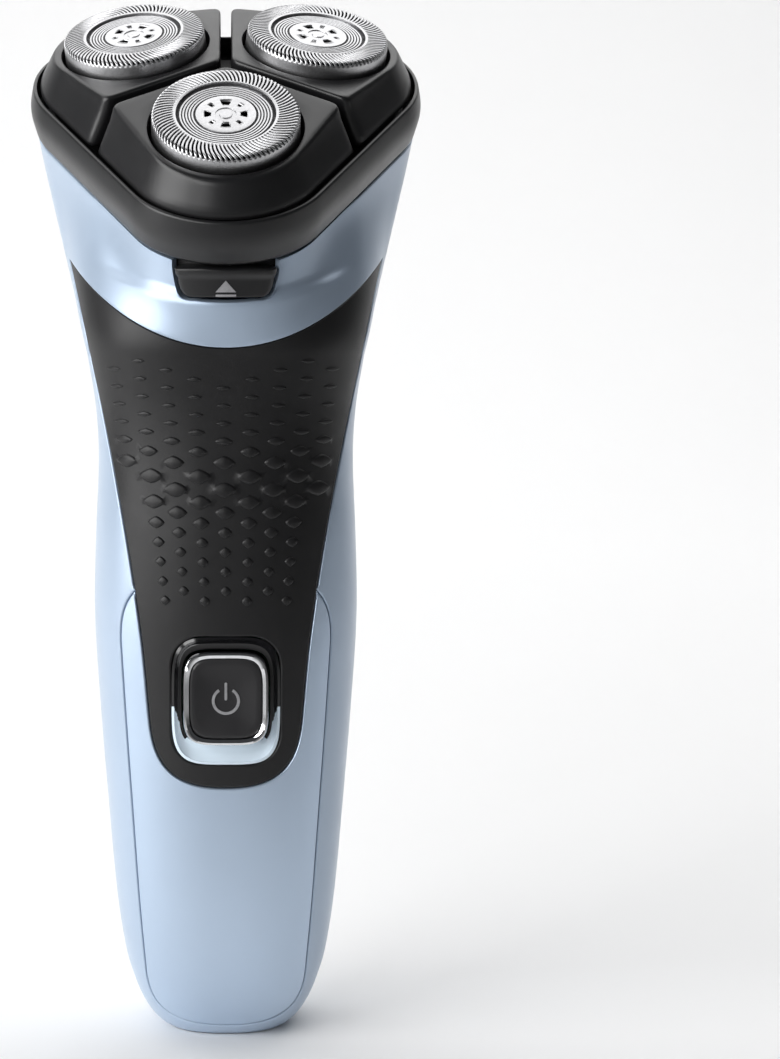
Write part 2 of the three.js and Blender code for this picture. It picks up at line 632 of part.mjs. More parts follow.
function addTransmission() {
  const pinionTop = GEAR_LEVEL + GEAR_THICK + 0.4;
  add(head, 'pinion', spurGear(PINION_TEETH, GEAR_LEVEL - 0.4, pinionTop, 1.2, 0), 'nylon');
  const shaft = cylinderZ(0.9, MOTOR_TOP - 9, pinionTop, 16);
  const core = cylinderZ(5.2, MOTOR_TOP - 8.4, MOTOR_TOP - 1.8, 20);
  add(head, 'rotor', join(shaft, core), 'copper');
  const can = subtract(
    cylinderZ(MOTOR_RADIUS, MOTOR_TOP - MOTOR_LENGTH, MOTOR_TOP, 32),
    cylinderZ(MOTOR_RADIUS - 1.2, MOTOR_TOP - MOTOR_LENGTH + 1.2, MOTOR_TOP - 1, 28),
    cylinderZ(1.3, MOTOR_TOP - 2, MOTOR_TOP + 1, 16),
  );
  add(head, 'motor_can', can, 'steel');

  const spindleHoles = SIDES.map(({ azimuth }) => {
    const x = GEAR_DISTANCE * Math.cos(azimuth);
    const y = GEAR_DISTANCE * Math.sin(azimuth);
    return cylinderZ(SPINDLE_RADIUS + 0.4, -40, 0, 12, x, y);
  });
  const plate = subtract(
    triangleSolid([[-24.5, 8], [-23.3, 8]]),
    cylinderZ(2.2, -30, -20, 20),
    ...spindleHoles,
  );
  add(head, 'motor_plate', plate, 'grey');
  const deck = subtract(triangleSolid([[-18.2, 10.6], [-16.5, 10.6]]), ...spindleHoles);
  add(head, 'coupling_deck', deck, 'black');

  SIDES.forEach(({ name, azimuth }) => {
    const drive = new THREE.Group();
    drive.position.set(GEAR_DISTANCE * Math.cos(azimuth), GEAR_DISTANCE * Math.sin(azimuth), 0);
    head.add(drive);
    const bore = SPINDLE_RADIUS + 0.25;
    const gear = spurGear(GEAR_TEETH, GEAR_LEVEL, GEAR_LEVEL + GEAR_THICK, bore, meshPhase(azimuth));
    add(drive, `drive_gear_${name}`, gear, 'nylon');
    const rod = cylinderZ(SPINDLE_RADIUS, -24.2, SPINDLE_TOP - 1.6, 18);
    const tip = cylinderZ(1.2, SPINDLE_TOP - 2, SPINDLE_TOP, 6);
    add(drive, `drive_spindle_${name}`, join(rod, tip), 'steel');
    add(drive, `spindle_seal_${name}`, ringZ(3.2, SPINDLE_RADIUS + 0.3, -16.2, -15.3, 16), 'rubber');
  });
}

// ---------------------------------------------------------------- shaving unit

// A solid whose outline is the rounded triangle, given as [level, corner radius] from the bottom up.
function triangleSolid(levels) {
  return sweptSolid(36, levels.length - 1, (angle, row, isRim) => {
    const [level, round] = levels[row];
    return isRim ? headPoint(angle, round, level) : new THREE.Vector3(0, 0, level);
  });
}

function addShavingUnit() {
  const outside = triangleSolid([
    [-16.3, 15.0],
    [-15.8, 15.5],
    [-12.2, 16.3],
    [-9.5, 15.9],
    [-8.7, 15.5],
  ]);
  const inside = triangleSolid([
    [-17, 14.1],
    [-13, 14.1],
    [-12.2, 15.05],
    [-8, 15.05],
  ]);
  const lugSlots = HINGE_LUGS.map((x) => box(x - 1.6, x + 1.6, HINGE_Y - 5, HINGE_Y + 1.5, -20, HINGE_LEVEL + 1.6));
  const knuckle = cylinderX(1.3, -15.4, 15.4, HINGE_Y, HINGE_LEVEL);
  const axle = cylinderX(0.8, -15, 15, HINGE_Y, HINGE_LEVEL);
  const ring = join(subtract(outside, inside), knuckle);
  add(head, 'head_skirt', subtract(ring, axle, ...lugSlots), 'black');
  add(head, 'hinge_pin', cylinderX(0.5, -14.4, 14.4, HINGE_Y, HINGE_LEVEL), 'steel');

  const lugs = HINGE_LUGS.map((x) => {
    const eye = cylinderX(1.25, x - 1.2, x + 1.2, HINGE_Y, HINGE_LEVEL);
    const foot = box(x - 1.2, x + 1.2, 19.2, HINGE_Y, HINGE_LEVEL - 1.25, HINGE_LEVEL + 0.6);
    return join(eye, foot);
  });
  const bar = box(HINGE_LUGS[0] - 1.2, HINGE_LUGS[1] + 1.2, 15.6, 19.8, -16.2, -15.1);
  const bracket = subtract(join(bar, ...lugs), cylinderX(0.8, -20, 20, HINGE_Y, HINGE_LEVEL));
  add(head, 'hinge_bracket', bracket, 'grey');

  const throughHoles = (radius) =>
    SIDES.map(({ azimuth }) => {
      const x = GEAR_DISTANCE * Math.cos(azimuth);
      const y = GEAR_DISTANCE * Math.sin(azimuth);
      return cylinderZ(radius, -40, 0, 16, x, y);
    });
  const floorNotch = box(-16.5, 16.5, 18.8, 30, -20, -10);
  const floor = subtract(triangleSolid([[-14.3, 13.7], [-13.2, 13.7]]), floorNotch, ...throughHoles(4.6));
  add(head, 'chamber_plate', floor, 'black');
  const frame = subtract(triangleSolid([[-12.4, 12.6], [-11.4, 12.6]]), ...throughHoles(7));
  add(head, 'retaining_frame', frame, 'nylon');
}

// The part of the head that belongs to one side, clear of the grooves between the petals.
function sideWedge(azimuth) {
  const start = GROOVE_HALF / Math.sin(Math.PI / 3);
  const reach = 60;
  const apex = new THREE.Vector2(start * Math.cos(azimuth), start * Math.sin(azimuth));
  const shape = new THREE.Shape();
  shape.moveTo(apex.x, apex.y);
  [-1, 1].forEach((sign) => {
    const angle = azimuth + (sign * Math.PI) / 3;
    shape.lineTo(apex.x + reach * Math.cos(angle), apex.y + reach * Math.sin(angle));
  });
  return extrudeZ(shape, -30, 30);
}

function guardGeometry() {
  const profile = [
    [0, -0.3],
    [4.6, -0.3],
    [5, -0.75],
    [7.4, -0.6],
    [8.0, -0.1],
    [GUARD_RADIUS - 0.5, 0],
    [GUARD_RADIUS, -0.4],
    [GUARD_RADIUS + 0.15, -5],
    [GUARD_RADIUS - 0.4, -5],
    [GUARD_RADIUS - 0.6, -1.35],
    [0, -1.35],
  ];
  const points = profile.map(([r, z]) => new THREE.Vector2(r, z)).reverse();
  return new THREE.LatheGeometry(points, 20).rotateX(Math.PI / 2);
}

function cutterGeometry() {
  const disc = cylinderZ(GUARD_RADIUS - 1.5, -6.6, -5.6, 20);
  const hub = cylinderZ(3.6, -9.9, -6, 12);
  const fins = [];
  const count = 9;
  for (let i = 0; i < count; i += 1) {
    const fin = box(7.2, GUARD_RADIUS - 1, -0.3, 0.3, -6, -1.5);
    fins.push(fin.rotateZ((i * 2 * Math.PI) / count));
  }
  const blank = join(disc, hub, ...fins);
  return subtract(blank, cylinderZ(2.5, -12, -7.4, 12));
}

// Moves a piece built in the head's frame into the frame of one leaning cell.
function intoCell(geometry, place, leanAxis) {
  const frame = new THREE.Matrix4().makeRotationAxis(leanAxis, CELL_LEAN).setPosition(place);
  return geometry.applyMatrix4(frame.invert());
}

function addCell({ name, azimuth }) {
  const place = new THREE.Vector3(HEAD_RADIUS * Math.cos(azimuth), HEAD_RADIUS * Math.sin(azimuth), 0);
  const leanAxis = new THREE.Vector3(-Math.sin(azimuth), Math.cos(azimuth), 0);
  const cell = new THREE.Group();
  cell.position.copy(place);
  cell.setRotationFromAxisAngle(leanAxis, CELL_LEAN);
  head.add(cell);

  const outside = triangleSolid([
    [PETAL_BASE, 14.55],
    [-8.6, 14.5],
    [-3.9, 12.3],
    [1, 11],
  ]);
  const petalBlank = intoCell(intersect(outside, sideWedge(azimuth)), place, leanAxis);
  const top = box(-60, 60, -60, 60, -60, PETAL_TOP);
  const petal = subtract(intersect(petalBlank, top), cylinderZ(WELL_RADIUS, -40, 10, 40));
  add(cell, `cell_${name}`, petal, 'black');
  add(cell, `guard_${name}`, guardGeometry(), 'steel');
  add(cell, `cutter_${name}`, cutterGeometry(), 'steel');
}

// ---------------------------------------------------------------- build

addHousing();
addPowerButton();
addReleaseKey();
addElectronics();
addChargingPort();
addTrimmer();
addTrimmerSlider();
addTransmission();
addShavingUnit();
SIDES.forEach(addCell);

export default shaver;
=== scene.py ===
import math

import bmesh
import bpy
import numpy as np
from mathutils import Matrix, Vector, geometry


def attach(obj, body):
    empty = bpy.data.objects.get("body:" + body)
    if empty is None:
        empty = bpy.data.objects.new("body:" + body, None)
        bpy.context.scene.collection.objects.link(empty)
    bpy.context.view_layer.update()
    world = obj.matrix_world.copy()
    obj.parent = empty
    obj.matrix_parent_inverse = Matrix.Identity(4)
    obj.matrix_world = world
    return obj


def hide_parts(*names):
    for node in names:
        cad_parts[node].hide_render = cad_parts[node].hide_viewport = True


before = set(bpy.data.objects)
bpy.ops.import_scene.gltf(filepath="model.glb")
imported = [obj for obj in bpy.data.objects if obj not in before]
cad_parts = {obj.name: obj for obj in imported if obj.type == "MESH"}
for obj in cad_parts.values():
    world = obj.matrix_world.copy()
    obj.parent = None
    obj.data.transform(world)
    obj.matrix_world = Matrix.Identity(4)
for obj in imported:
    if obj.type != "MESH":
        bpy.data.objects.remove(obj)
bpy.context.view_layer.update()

MM = 0.001

# ------------------------------------------------------------------ dimensions, in millimetres

# Handle: height, half-width, depth in front of the centre line, depth behind it.
HANDLE = np.array([
    [0, 8.9, 7.6, 7.6],
    [1, 10.5, 9.1, 9.1],
    [2.6, 12.0, 10.4, 10.6],
    [5.4, 13.6, 11.7, 12.1],
    [8.5, 14.75, 12.6, 13.1],
    [12, 15.75, 13.4, 14.1],
    [21, 17.1, 14.6, 15.5],
    [36, 18.4, 15.8, 16.8],
    [52, 19.6, 16.7, 17.8],
    [66, 20.35, 17.3, 18.4],
    [78, 20.1, 17.4, 18.2],
    [90, 19.6, 17.2, 17.6],
    [98, 20.0, 17.8, 17.6],
    [106, 21.25, 19.3, 18.2],
])
SQUARENESS = 2.5
NECK_START = 106.0
NECK_SPAN = 36.0  # length of the neck in the surface's own coordinate
S_TOP = NECK_START + NECK_SPAN
PARTING_SLOPE = math.tan(math.radians(4))
PARTING_Y = 2.0

HEAD_TILT = math.radians(33)
HEAD_ORIGIN = np.array([0.0, -6.0, 150.0])
HEAD_RADIUS = 16.2
CELL_LEAN = math.radians(7)
SIDES = {"front": -math.pi / 2, "right": math.pi / 6, "left": math.pi * 5 / 6}
RIM_LEVEL = -16.6
RIM_ROUND = 15.3
PETAL_BASE = -9.2
PETAL_TOP = -2.4
GROOVE_HALF = 0.8
GUARD_RADIUS = 10.7
WELL_RADIUS = 11.3

BUTTON_Z = 55.1
BUTTON_HALF = (6.4, 7.05)
FACE_HALF = (5.4, 6.05)
WELL_Z = 54.7
WELL_HALF = (8.2, 9.85)
KEY_BOTTOM = 114.6
KEY_TOP = 119.0
KEY_HALF = 7.5
REAR_GRIP = {"bottom": 19, "top": 73, "half": 12, "radius": 9}
TRIMMER = {"bottom": 87, "top": 111, "half": 13, "radius": 3}
SLIDER = {"bottom": 76.5, "top": 83, "half": 5, "travel": 2}
PORT = {"z": 11, "half": (4.2, 2.9)}
FIT = 0.3
KEY_GAP = 0.34
SEAM = 0.16  # visible gap between two outer pieces

# ------------------------------------------------------------------ materials


def principled(name):
    mat = bpy.data.materials.new(name)
    mat.use_nodes = True
    return mat, mat.node_tree, mat.node_tree.nodes["Principled BSDF"]


def node(tree, kind, **inputs):
    made = tree.nodes.new(kind)
    for key, value in inputs.items():
        if key in made.inputs:
            made.inputs[key].default_value = value
        else:
            setattr(made, key, value)
    return made


def ramp(tree, source, stops):
    made = tree.nodes.new("ShaderNodeValToRGB")
    elements = made.color_ramp.elements
    while len(elements) < len(stops):
        elements.new(0.5)
    for element, (place, value) in zip(elements, stops):
        element.position = place
        element.color = value if len(value) == 4 else (*value, 1.0)
    tree.links.new(source, made.inputs["Fac"])
    return made


def shade(color, factor):
    return tuple(min(1.0, c * factor) for c in color)


def grey(value):
    return (value, value, value)


def noise(tree, vector, scale, detail, rough):
    made = node(tree, "ShaderNodeTexNoise", Scale=scale, Detail=detail, Roughness=rough)
    tree.links.new(vector, made.inputs["Vector"])
    return made.outputs["Fac"]


def drive(tree, socket, source, stops):
    tree.links.new(ramp(tree, source, stops).outputs["Color"], socket)


def add_bump(tree, shader, source, strength, distance):
    relief = node(tree, "ShaderNodeBump", Strength=strength, Distance=distance)
    tree.links.new(source, relief.inputs["Height"])
    tree.links.new(relief.outputs["Normal"], shader.inputs["Normal"])


# A moulded or lacquered surface: fine grain in the bump, uneven gloss, slight colour drift.
def moulded(name, color, roughness, grain=3200.0, bump=0.05, drift=0.06, coat=0.0, coat_rough=0.1,
            sheen=0.0, metallic=0.0, spread=0.06, specular=0.5):
    mat, tree, shader = principled(name)
    place = node(tree, "ShaderNodeTexCoord").outputs["Object"]
    drive(tree, shader.inputs["Base Color"], noise(tree, place, 45.0, 4.0, 0.6),
          [(0.3, shade(color, 1 - drift)), (0.7, shade(color, 1 + drift))])
    drive(tree, shader.inputs["Roughness"], noise(tree, place, 120.0, 6.0, 0.7),
          [(0.3, grey(max(0.02, roughness - spread))), (0.75, grey(min(1, roughness + spread)))])
    add_bump(tree, shader, noise(tree, place, grain, 3.0, 0.65), bump, 0.0001)
    settings = {"Metallic": metallic, "Specular IOR Level": specular, "Coat Weight": coat,
                "Coat Roughness": coat_rough, "Sheen Weight": sheen, "Sheen Roughness": 0.45}
    for socket, value in settings.items():
        shader.inputs[socket].default_value = value
    return mat


# Turned or brushed metal: stretched noise gives the direction of the marks.
def metal(name, color, roughness, stretch=(1.0, 1.0, 60.0), scale=900.0, bump=0.08, spread=0.07):
    mat, tree, shader = principled(name)
    place = node(tree, "ShaderNodeTexCoord").outputs["Object"]
    mapping = node(tree, "ShaderNodeMapping", Scale=stretch)
    tree.links.new(place, mapping.inputs["Vector"])
    marks = noise(tree, mapping.outputs["Vector"], scale, 4.0, 0.6)
    drive(tree, shader.inputs["Base Color"], marks, [(0.3, shade(color, 0.86)), (0.7, shade(color, 1.06))])
    drive(tree, shader.inputs["Roughness"], noise(tree, place, 160.0, 5.0, 0.6),
          [(0.3, grey(max(0.02, roughness - spread))), (0.7, grey(roughness + spread))])
    add_bump(tree, shader, marks, bump, 0.00005)
    shader.inputs["Metallic"].default_value = 1.0
    return mat


BLUE = (0.40, 0.49, 0.61)
MATS = {
    "blue": moulded("blue_satin", shade(BLUE, 1.05), 0.36, grain=5200, bump=0.03, drift=0.02, coat=0.25,
                    coat_rough=0.28, metallic=0.3),
    "gloss": moulded("blue_gloss", shade(BLUE, 1.2), 0.35, grain=4000, bump=0.012, drift=0.015, coat=0.6,
                     coat_rough=0.08, metallic=0.6, spread=0.04),
    "soft": moulded("soft_black", (0.009, 0.0088, 0.0095), 0.44, grain=4200, bump=0.14, drift=0.12,
                    sheen=0.04, spread=0.05, specular=0.4),
    "black": moulded("satin_black", (0.012, 0.012, 0.013), 0.34, grain=5200, bump=0.07, drift=0.08,
                     spread=0.05),
    # Black of the inner parts; the same material is also painted shade on the guards' groove floors and the
    # sheet under them.
    "matte": moulded("inner_black_and_painted_shade", (0.014, 0.014, 0.015), 0.55, grain=2600, bump=0.12, drift=0.1),
    "charcoal": moulded("charcoal_key", (0.017, 0.0165, 0.018), 0.36, grain=3600, bump=0.05, coat=0.2),
    "piano": moulded("gloss_black", (0.008, 0.008, 0.009), 0.1, grain=2600, bump=0.01, drift=0.05, coat=0.5,
                     spread=0.03),
    # Painted glow: a pale bluish colour that stands in for the light of the glowing crescent.
    "pearl": moulded("crescent_painted_glow", (0.70, 0.82, 0.92), 0.2, grain=2600, bump=0.015, drift=0.04, coat=0.6),
    "nylon": moulded("nylon", (0.70, 0.68, 0.62), 0.42, grain=1800, bump=0.08),
    "grey": moulded("grey_plastic", (0.16, 0.165, 0.175), 0.45, grain=2200, bump=0.1),
    "board": moulded("solder_mask", (0.012, 0.12, 0.055), 0.35, grain=1500, bump=0.1, coat=0.3),
    "rubber": moulded("seal_rubber", (0.016, 0.016, 0.017), 0.7, grain=2400, bump=0.2),
    "wrap": moulded("cell_wrap", (0.03, 0.16, 0.27), 0.36, grain=900, bump=0.05, coat=0.3),
    "steel": metal("turned_steel", (0.50, 0.50, 0.52), 0.37),
    # Painted shade: the cutters' steel is darkened so the slots look dark.
    "steel_painted_shade": metal("cutter_painted_shade", (0.10, 0.10, 0.105), 0.38, stretch=(1, 1, 1)),
    "guard": metal("guard_steel", (0.52, 0.52, 0.53), 0.33, stretch=(1, 1, 1), scale=2600, bump=0.05,
                   spread=0.04),
    "chrome": metal("chrome", (0.86, 0.87, 0.89), 0.07, stretch=(1, 1, 1), scale=700, bump=0.01,
                    spread=0.03),
    "icon": metal("icon_silver", (0.62, 0.62, 0.64), 0.38, stretch=(1, 1, 1), scale=1800, bump=0.06),
    "copper": metal("copper", (0.72, 0.38, 0.20), 0.38),
}

# The CAD nodes that stay in view, or come into view when a part opens.
CAD_LOOKS = {
    "matte": ["coupling_deck", "chamber_plate", "retaining_frame", "charging_socket", "trimmer_tray"],
    "nylon": ["chassis", "pinion", "drive_gear_front", "drive_gear_right", "drive_gear_left"],
    "grey": ["power_switch", "motor_plate", "hinge_bracket"],
    "board": ["circuit_board"],
    "wrap": ["battery_cell"],
    # Painted glow on the indicator light.
    "pearl": ["indicator_light"],
    "rubber": ["spindle_seal_front", "spindle_seal_right", "spindle_seal_left"],
    "copper": ["battery_tab_lower", "battery_tab_upper", "charging_pin_1", "charging_pin_2", "rotor"],
    # Cutters get the darkened steel, painted shade seen through the slots.
    "steel_painted_shade": ["cutter_front", "cutter_right", "cutter_left"],
    "black": ["trimmer_arm", "trimmer_slider"],
    "steel": ["release_spring", "motor_can", "hinge_pin", "trimmer_pin", "trimmer_comb", "trimmer_blade",
              "case_screw_1", "case_screw_2", "case_screw_3", "case_screw_4",
              "drive_spindle_front", "drive_spindle_right", "drive_spindle_left"],
}

# ------------------------------------------------------------------ mesh helpers


# A piece from a shape, which is its vertices in millimetres and its faces.
def finish_piece(name, shape, look, body, replaces=(), angle=38, recalc=True):
    vertices, faces = shape
    mesh = bpy.data.meshes.new(name)
    mesh.from_pydata((np.asarray(vertices, float) * MM).tolist(), [], faces)
    mesh.validate()
    if recalc:
        work = bmesh.new()
        work.from_mesh(mesh)
        bmesh.ops.remove_doubles(work, verts=work.verts, dist=1e-7)
        bmesh.ops.recalc_face_normals(work, faces=work.faces)
        work.to_mesh(mesh)
        work.free()
    mesh.shade_smooth()
    mesh.set_sharp_from_angle(angle=math.radians(angle))
    mesh.materials.append(MATS[look])
    piece = bpy.data.objects.new(name, mesh)
    bpy.context.scene.collection.objects.link(piece)
    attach(piece, body)
    if replaces:
        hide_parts(*replaces)
    return piece


def apply_modifiers(piece):
    bpy.context.view_layer.update()
    shaped = bpy.data.meshes.new_from_object(piece.evaluated_get(bpy.context.evaluated_depsgraph_get()))
    piece.modifiers.clear()
    piece.data = shaped


def strip_faces(rings, count, offset=0):
    faces = []
    for ring in range(rings - 1):
        low = offset + ring * count
        high = low + count
        for i in range(count):
            j = (i + 1) % count
            faces.append((low + i, low + j, high + j, high + i))
    return faces


# Rings of equal length joined into a skin, closed with a cap on the last ring or round to the first.
def ring_loft(rings, cap_last=False, wrap=False):
    count = len(rings[0])
    faces = strip_faces(len(rings), count)
    low = (len(rings) - 1) * count
    if wrap:
        faces += [(low + i, low + (i + 1) % count, (i + 1) % count, i) for i in range(count)]
    if cap_last:
        faces.append(tuple(range(low, low + count)))
    return np.concatenate(rings), faces


def polar(count):
    return np.linspace(0, 2 * math.pi, count, endpoint=False)


def hermite(p0, m0, p1, m1, t):
    t2, t3 = t * t, t * t * t
    return (2 * t3 - 3 * t2 + 1) * p0 + (t3 - 2 * t2 + t) * m0 + (3 * t2 - 2 * t3) * p1 + (t3 - t2) * m1


def handle_value(z, column):
    heights, values = HANDLE[:, 0], HANDLE[:, column]
    slopes = np.empty(len(values))
    slopes[1:-1] = (values[2:] - values[:-2]) / (heights[2:] - heights[:-2])
    slopes[0] = (values[1] - values[0]) / (heights[1] - heights[0])
    slopes[-1] = (values[-1] - values[-2]) / (heights[-1] - heights[-2])
    i = np.clip(np.searchsorted(heights, z, side="left"), 1, len(heights) - 1)
    span = heights[i] - heights[i - 1]
    t = (z - heights[i - 1]) / span
    return hermite(values[i - 1], slopes[i - 1] * span, values[i], slopes[i] * span, t)


# Radius of a squared-off oval in a direction; power 2 is an ellipse.
def oval(angle, half_a, half_b, power):
    shape = np.abs(np.cos(angle) / half_a) ** power + np.abs(np.sin(angle) / half_b) ** power
    return shape ** (-1 / power)


def handle_points(angle, z, inset=0.0):
    half_x = handle_value(z, 1) - inset
    half_y = np.where(np.sin(angle) < 0, handle_value(z, 2), handle_value(z, 3)) - inset
    radius = oval(angle, half_x, half_y, SQUARENESS)
    return np.stack([radius * np.cos(angle), radius * np.sin(angle), z + 0 * angle], axis=-1)


def triangle_radius(angle, rounding):
    turn = 2 * math.pi / 3
    offset = angle - SIDES["right"]
    delta = np.abs(offset - turn * np.round(offset / turn))
    tangent = np.arctan2(rounding * math.sin(math.pi / 3), HEAD_RADIUS + rounding * 0.5)
    line = (HEAD_RADIUS / 2 + rounding) / np.cos(math.pi / 3 - delta)
    inside = np.maximum(rounding ** 2 - (HEAD_RADIUS * np.sin(delta)) ** 2, 0)
    return np.where(delta > tangent, line, HEAD_RADIUS * np.cos(delta) + np.sqrt(inside))


def tilt(points, angle=HEAD_TILT):
    c, s = math.cos(angle), math.sin(angle)
    x, y, z = points[..., 0], points[..., 1], points[..., 2]
    return np.stack([x, c * y - s * z, s * y + c * z], axis=-1)


def head_to_world(points):
    return tilt(points) + HEAD_ORIGIN


def head_ring(angle, rounding, level):
    radius = triangle_radius(angle, rounding)
    return np.stack([radius * np.cos(angle), radius * np.sin(angle), level + 0 * angle], axis=-1)


def neck_points(angle, t, inset=0.0):
    front = np.maximum(0, -np.sin(angle))
    back = np.maximum(0, np.sin(angle))
    start = handle_points(angle, np.full_like(angle, NECK_START), inset)
    end = head_to_world(head_ring(angle, RIM_ROUND - inset, RIM_LEVEL))
    reach = np.linalg.norm(end - start, axis=-1)[..., None]
    low = (0.27 + 0.01 * front - 0.07 * back)[..., None]
    high = (0.16 - 0.44 * front - 0.19 * back)[..., None]
    out = np.stack([np.cos(angle), np.sin(angle), 0 * angle], axis=-1)
    up = np.array([0.0, 0.0, 1.0])
    return hermite(start, (out * low + up) * reach, end, tilt(out * high + up) * reach, t[..., None])


# The handle's surface: angle round it, and s, which is the height up to the neck.
def surface(angle, s, inset=0.0):
    angle, s = np.broadcast_arrays(np.asarray(angle, float), np.asarray(s, float))
    low = handle_points(angle, np.clip(s, 0, NECK_START), inset)
    high = neck_points(angle, np.clip((s - NECK_START) / NECK_SPAN, 0, 1), inset)
    return np.where((s <= NECK_START)[..., None], low, high)


def surface_normals(angle, s):
    step = 0.02
    around = surface(angle + step / 15, s) - surface(angle - step / 15, s)
    s_low = np.clip(s - step, 0, S_TOP)
    s_high = np.clip(s + step, 0, S_TOP)
    along = surface(angle, s_high) - surface(angle, s_low)
    normal = np.cross(around, along)
    return normal / np.linalg.norm(normal, axis=-1)[..., None]


# The surface's own coordinates of places given by x and z on the front (side=-1) or the back (side=1).
def locate(x, z, side):
    x, z = np.asarray(x, float), np.asarray(z, float)
    middle = side * math.pi / 2
    rim = surface(np.full_like(x, middle), np.full_like(x, S_TOP))[..., 2]
    s = np.where(z > NECK_START, NECK_START + (z - NECK_START) / (rim - NECK_START) * NECK_SPAN, z)
    s = np.clip(s, 0, S_TOP)
    half = handle_value(np.clip(s, 0, NECK_START), 1) + np.maximum(0, z - NECK_START) * 0.2
    angle = side * np.arccos(np.clip(x / half, -0.97, 0.97))
    for _ in range(14):
        here = surface(angle, s)
        error = np.stack([x - here[..., 0], z - here[..., 2]], axis=-1)
        da, ds = 1e-4, 1e-3
        down = np.where(s > S_TOP - 2 * ds, -1, 1)
        by_angle = (surface(angle + da, s) - here)[..., [0, 2]] / da
        by_s = (surface(angle, s + ds * down) - here)[..., [0, 2]] / (ds * down)[..., None]
        det = by_angle[..., 0] * by_s[..., 1] - by_angle[..., 1] * by_s[..., 0]
        det = np.where(np.abs(det) < 1e-3, 1e-3, det)
        step_angle = (error[..., 0] * by_s[..., 1] - error[..., 1] * by_s[..., 0]) / det
        step_s = (by_angle[..., 0] * error[..., 1] - by_angle[..., 1] * error[..., 0]) / det
        angle = angle + np.clip(step_angle, -0.15, 0.15)
        s = np.clip(s + np.clip(step_s, -4, 4), 0, S_TOP)
    return angle, s


# ------------------------------------------------------------------ panels cut from the surface

ANGLE_SCALE = 18.0  # millimetres per radian in the flat chart of the surface
EDGE_BEND = (0, 25, 50, 72, 90)  # degrees of turn in a panel's rounded edge


def to_chart(x, z, side):
    angle, s = locate(x, z, side)
    return np.stack([(angle - side * math.pi / 2) * ANGLE_SCALE, s], axis=-1)


def from_chart(points, side):
    return points[:, 0] / ANGLE_SCALE + side * math.pi / 2, points[:, 1]


def resample(points, spacing):
    points = np.asarray(points, float)
    ring = np.vstack([points, points[:1]])
    lengths = np.linalg.norm(np.diff(ring, axis=0), axis=1)
    distance = np.concatenate([[0], np.cumsum(lengths)])
    count = max(12, int(distance[-1] / spacing))
    places = np.linspace(0, distance[-1], count, endpoint=False)
    return np.stack([np.interp(places, distance, ring[:, k]) for k in (0, 1)], axis=-1)


def polygon_area(points):
    x, y = points[:, 0], points[:, 1]
    return 0.5 * np.sum(x * np.roll(y, -1) - y * np.roll(x, -1))


def inward_normals(points):
    tangent = np.roll(points, -1, axis=0) - np.roll(points, 1, axis=0)
    tangent /= np.maximum(np.linalg.norm(tangent, axis=1), 1e-9)[:, None]
    normal = np.stack([-tangent[:, 1], tangent[:, 0]], axis=-1)
    return normal if polygon_area(points) > 0 else -normal


def inside_polygon(points, polygon):
    x, y = points[:, 0][:, None], points[:, 1][:, None]
    x0, y0 = polygon[:, 0][None], polygon[:, 1][None]
    x1, y1 = np.roll(polygon[:, 0], -1)[None], np.roll(polygon[:, 1], -1)[None]
    crosses = (y0 > y) != (y1 > y)
    rise = np.where(np.abs(y1 - y0) < 1e-12, 1e-12, y1 - y0)
    hit = x < (x1 - x0) * (y - y0) / rise + x0
    return (np.sum(crosses & hit, axis=1) % 2) == 1


def distance_to_polygon(points, polygon):
    best = np.full(len(points), 1e9)
    starts, ends = polygon, np.roll(polygon, -1, axis=0)
    for start in range(0, len(points), 4000):
        p = points[start:start + 4000][:, None]
        edge = (ends - starts)[None]
        along = np.sum((p - starts[None]) * edge, axis=2) / np.maximum(np.sum(edge ** 2, axis=2), 1e-12)
        nearest = starts[None] + edge * np.clip(along, 0, 1)[..., None]
        best[start:start + 4000] = np.linalg.norm(p - nearest, axis=2).min(axis=1)
    return best


# Side walls and rounded edges: one stack of rings for the outline and for each hole.
def panel_walls(loops, rounding, depth):
    bend = [math.radians(a) for a in EDGE_BEND]
    levels = [depth] + [rounding * (1 - math.sin(a)) for a in bend]
    rings, drops, faces, borders = [], [], [], []
    total = 0
    for index, loop in enumerate(loops):
        normals = inward_normals(loop) * (1 if index == 0 else -1)
        stack = [loop] + [loop + normals * rounding * (1 - math.cos(a)) for a in bend]
        rings += stack
        drops += [np.full(len(loop), level) for level in levels]
        faces += strip_faces(len(stack), len(loop), offset=total)
        borders.append((stack[-1], total + (len(stack) - 1) * len(loop)))
        total += len(stack) * len(loop)
    return rings, drops, faces, borders


# Which chart points lie inside the first border, outside the others and clear of all by margin.
def on_panel(points, borders, margin=0.0):
    keep = inside_polygon(points, borders[0][0])
    for ring, _ in borders[1:]:
        keep &= ~inside_polygon(points, ring)
    if margin:
        for ring, _ in borders:
            keep &= distance_to_polygon(points, ring) > margin
    return keep


# Staggered grid of chart points on a panel, clear of its borders and its details.
def panel_grid(loop, borders, spacing, details):
    low, high = loop.min(axis=0), loop.max(axis=0)
    columns = np.arange(low[0], high[0], spacing)
    rows = np.arange(low[1], high[1], spacing * 0.87)
    grid = np.array([(x + (spacing / 2 if j % 2 else 0), y) for j, y in enumerate(rows) for x in columns])
    grid = grid[on_panel(grid, borders, spacing * 0.45)]
    for detail in details:
        far = np.linalg.norm(grid - detail["centre"], axis=1) > detail["radius"]
        near = grid[~far]
        if len(near):
            out = ~inside_polygon(near, detail["rings"][0])
            clear = distance_to_polygon(near, detail["rings"][0]) > spacing * 0.2
            grid = np.vstack([grid[far], near[out & clear]])
    return grid


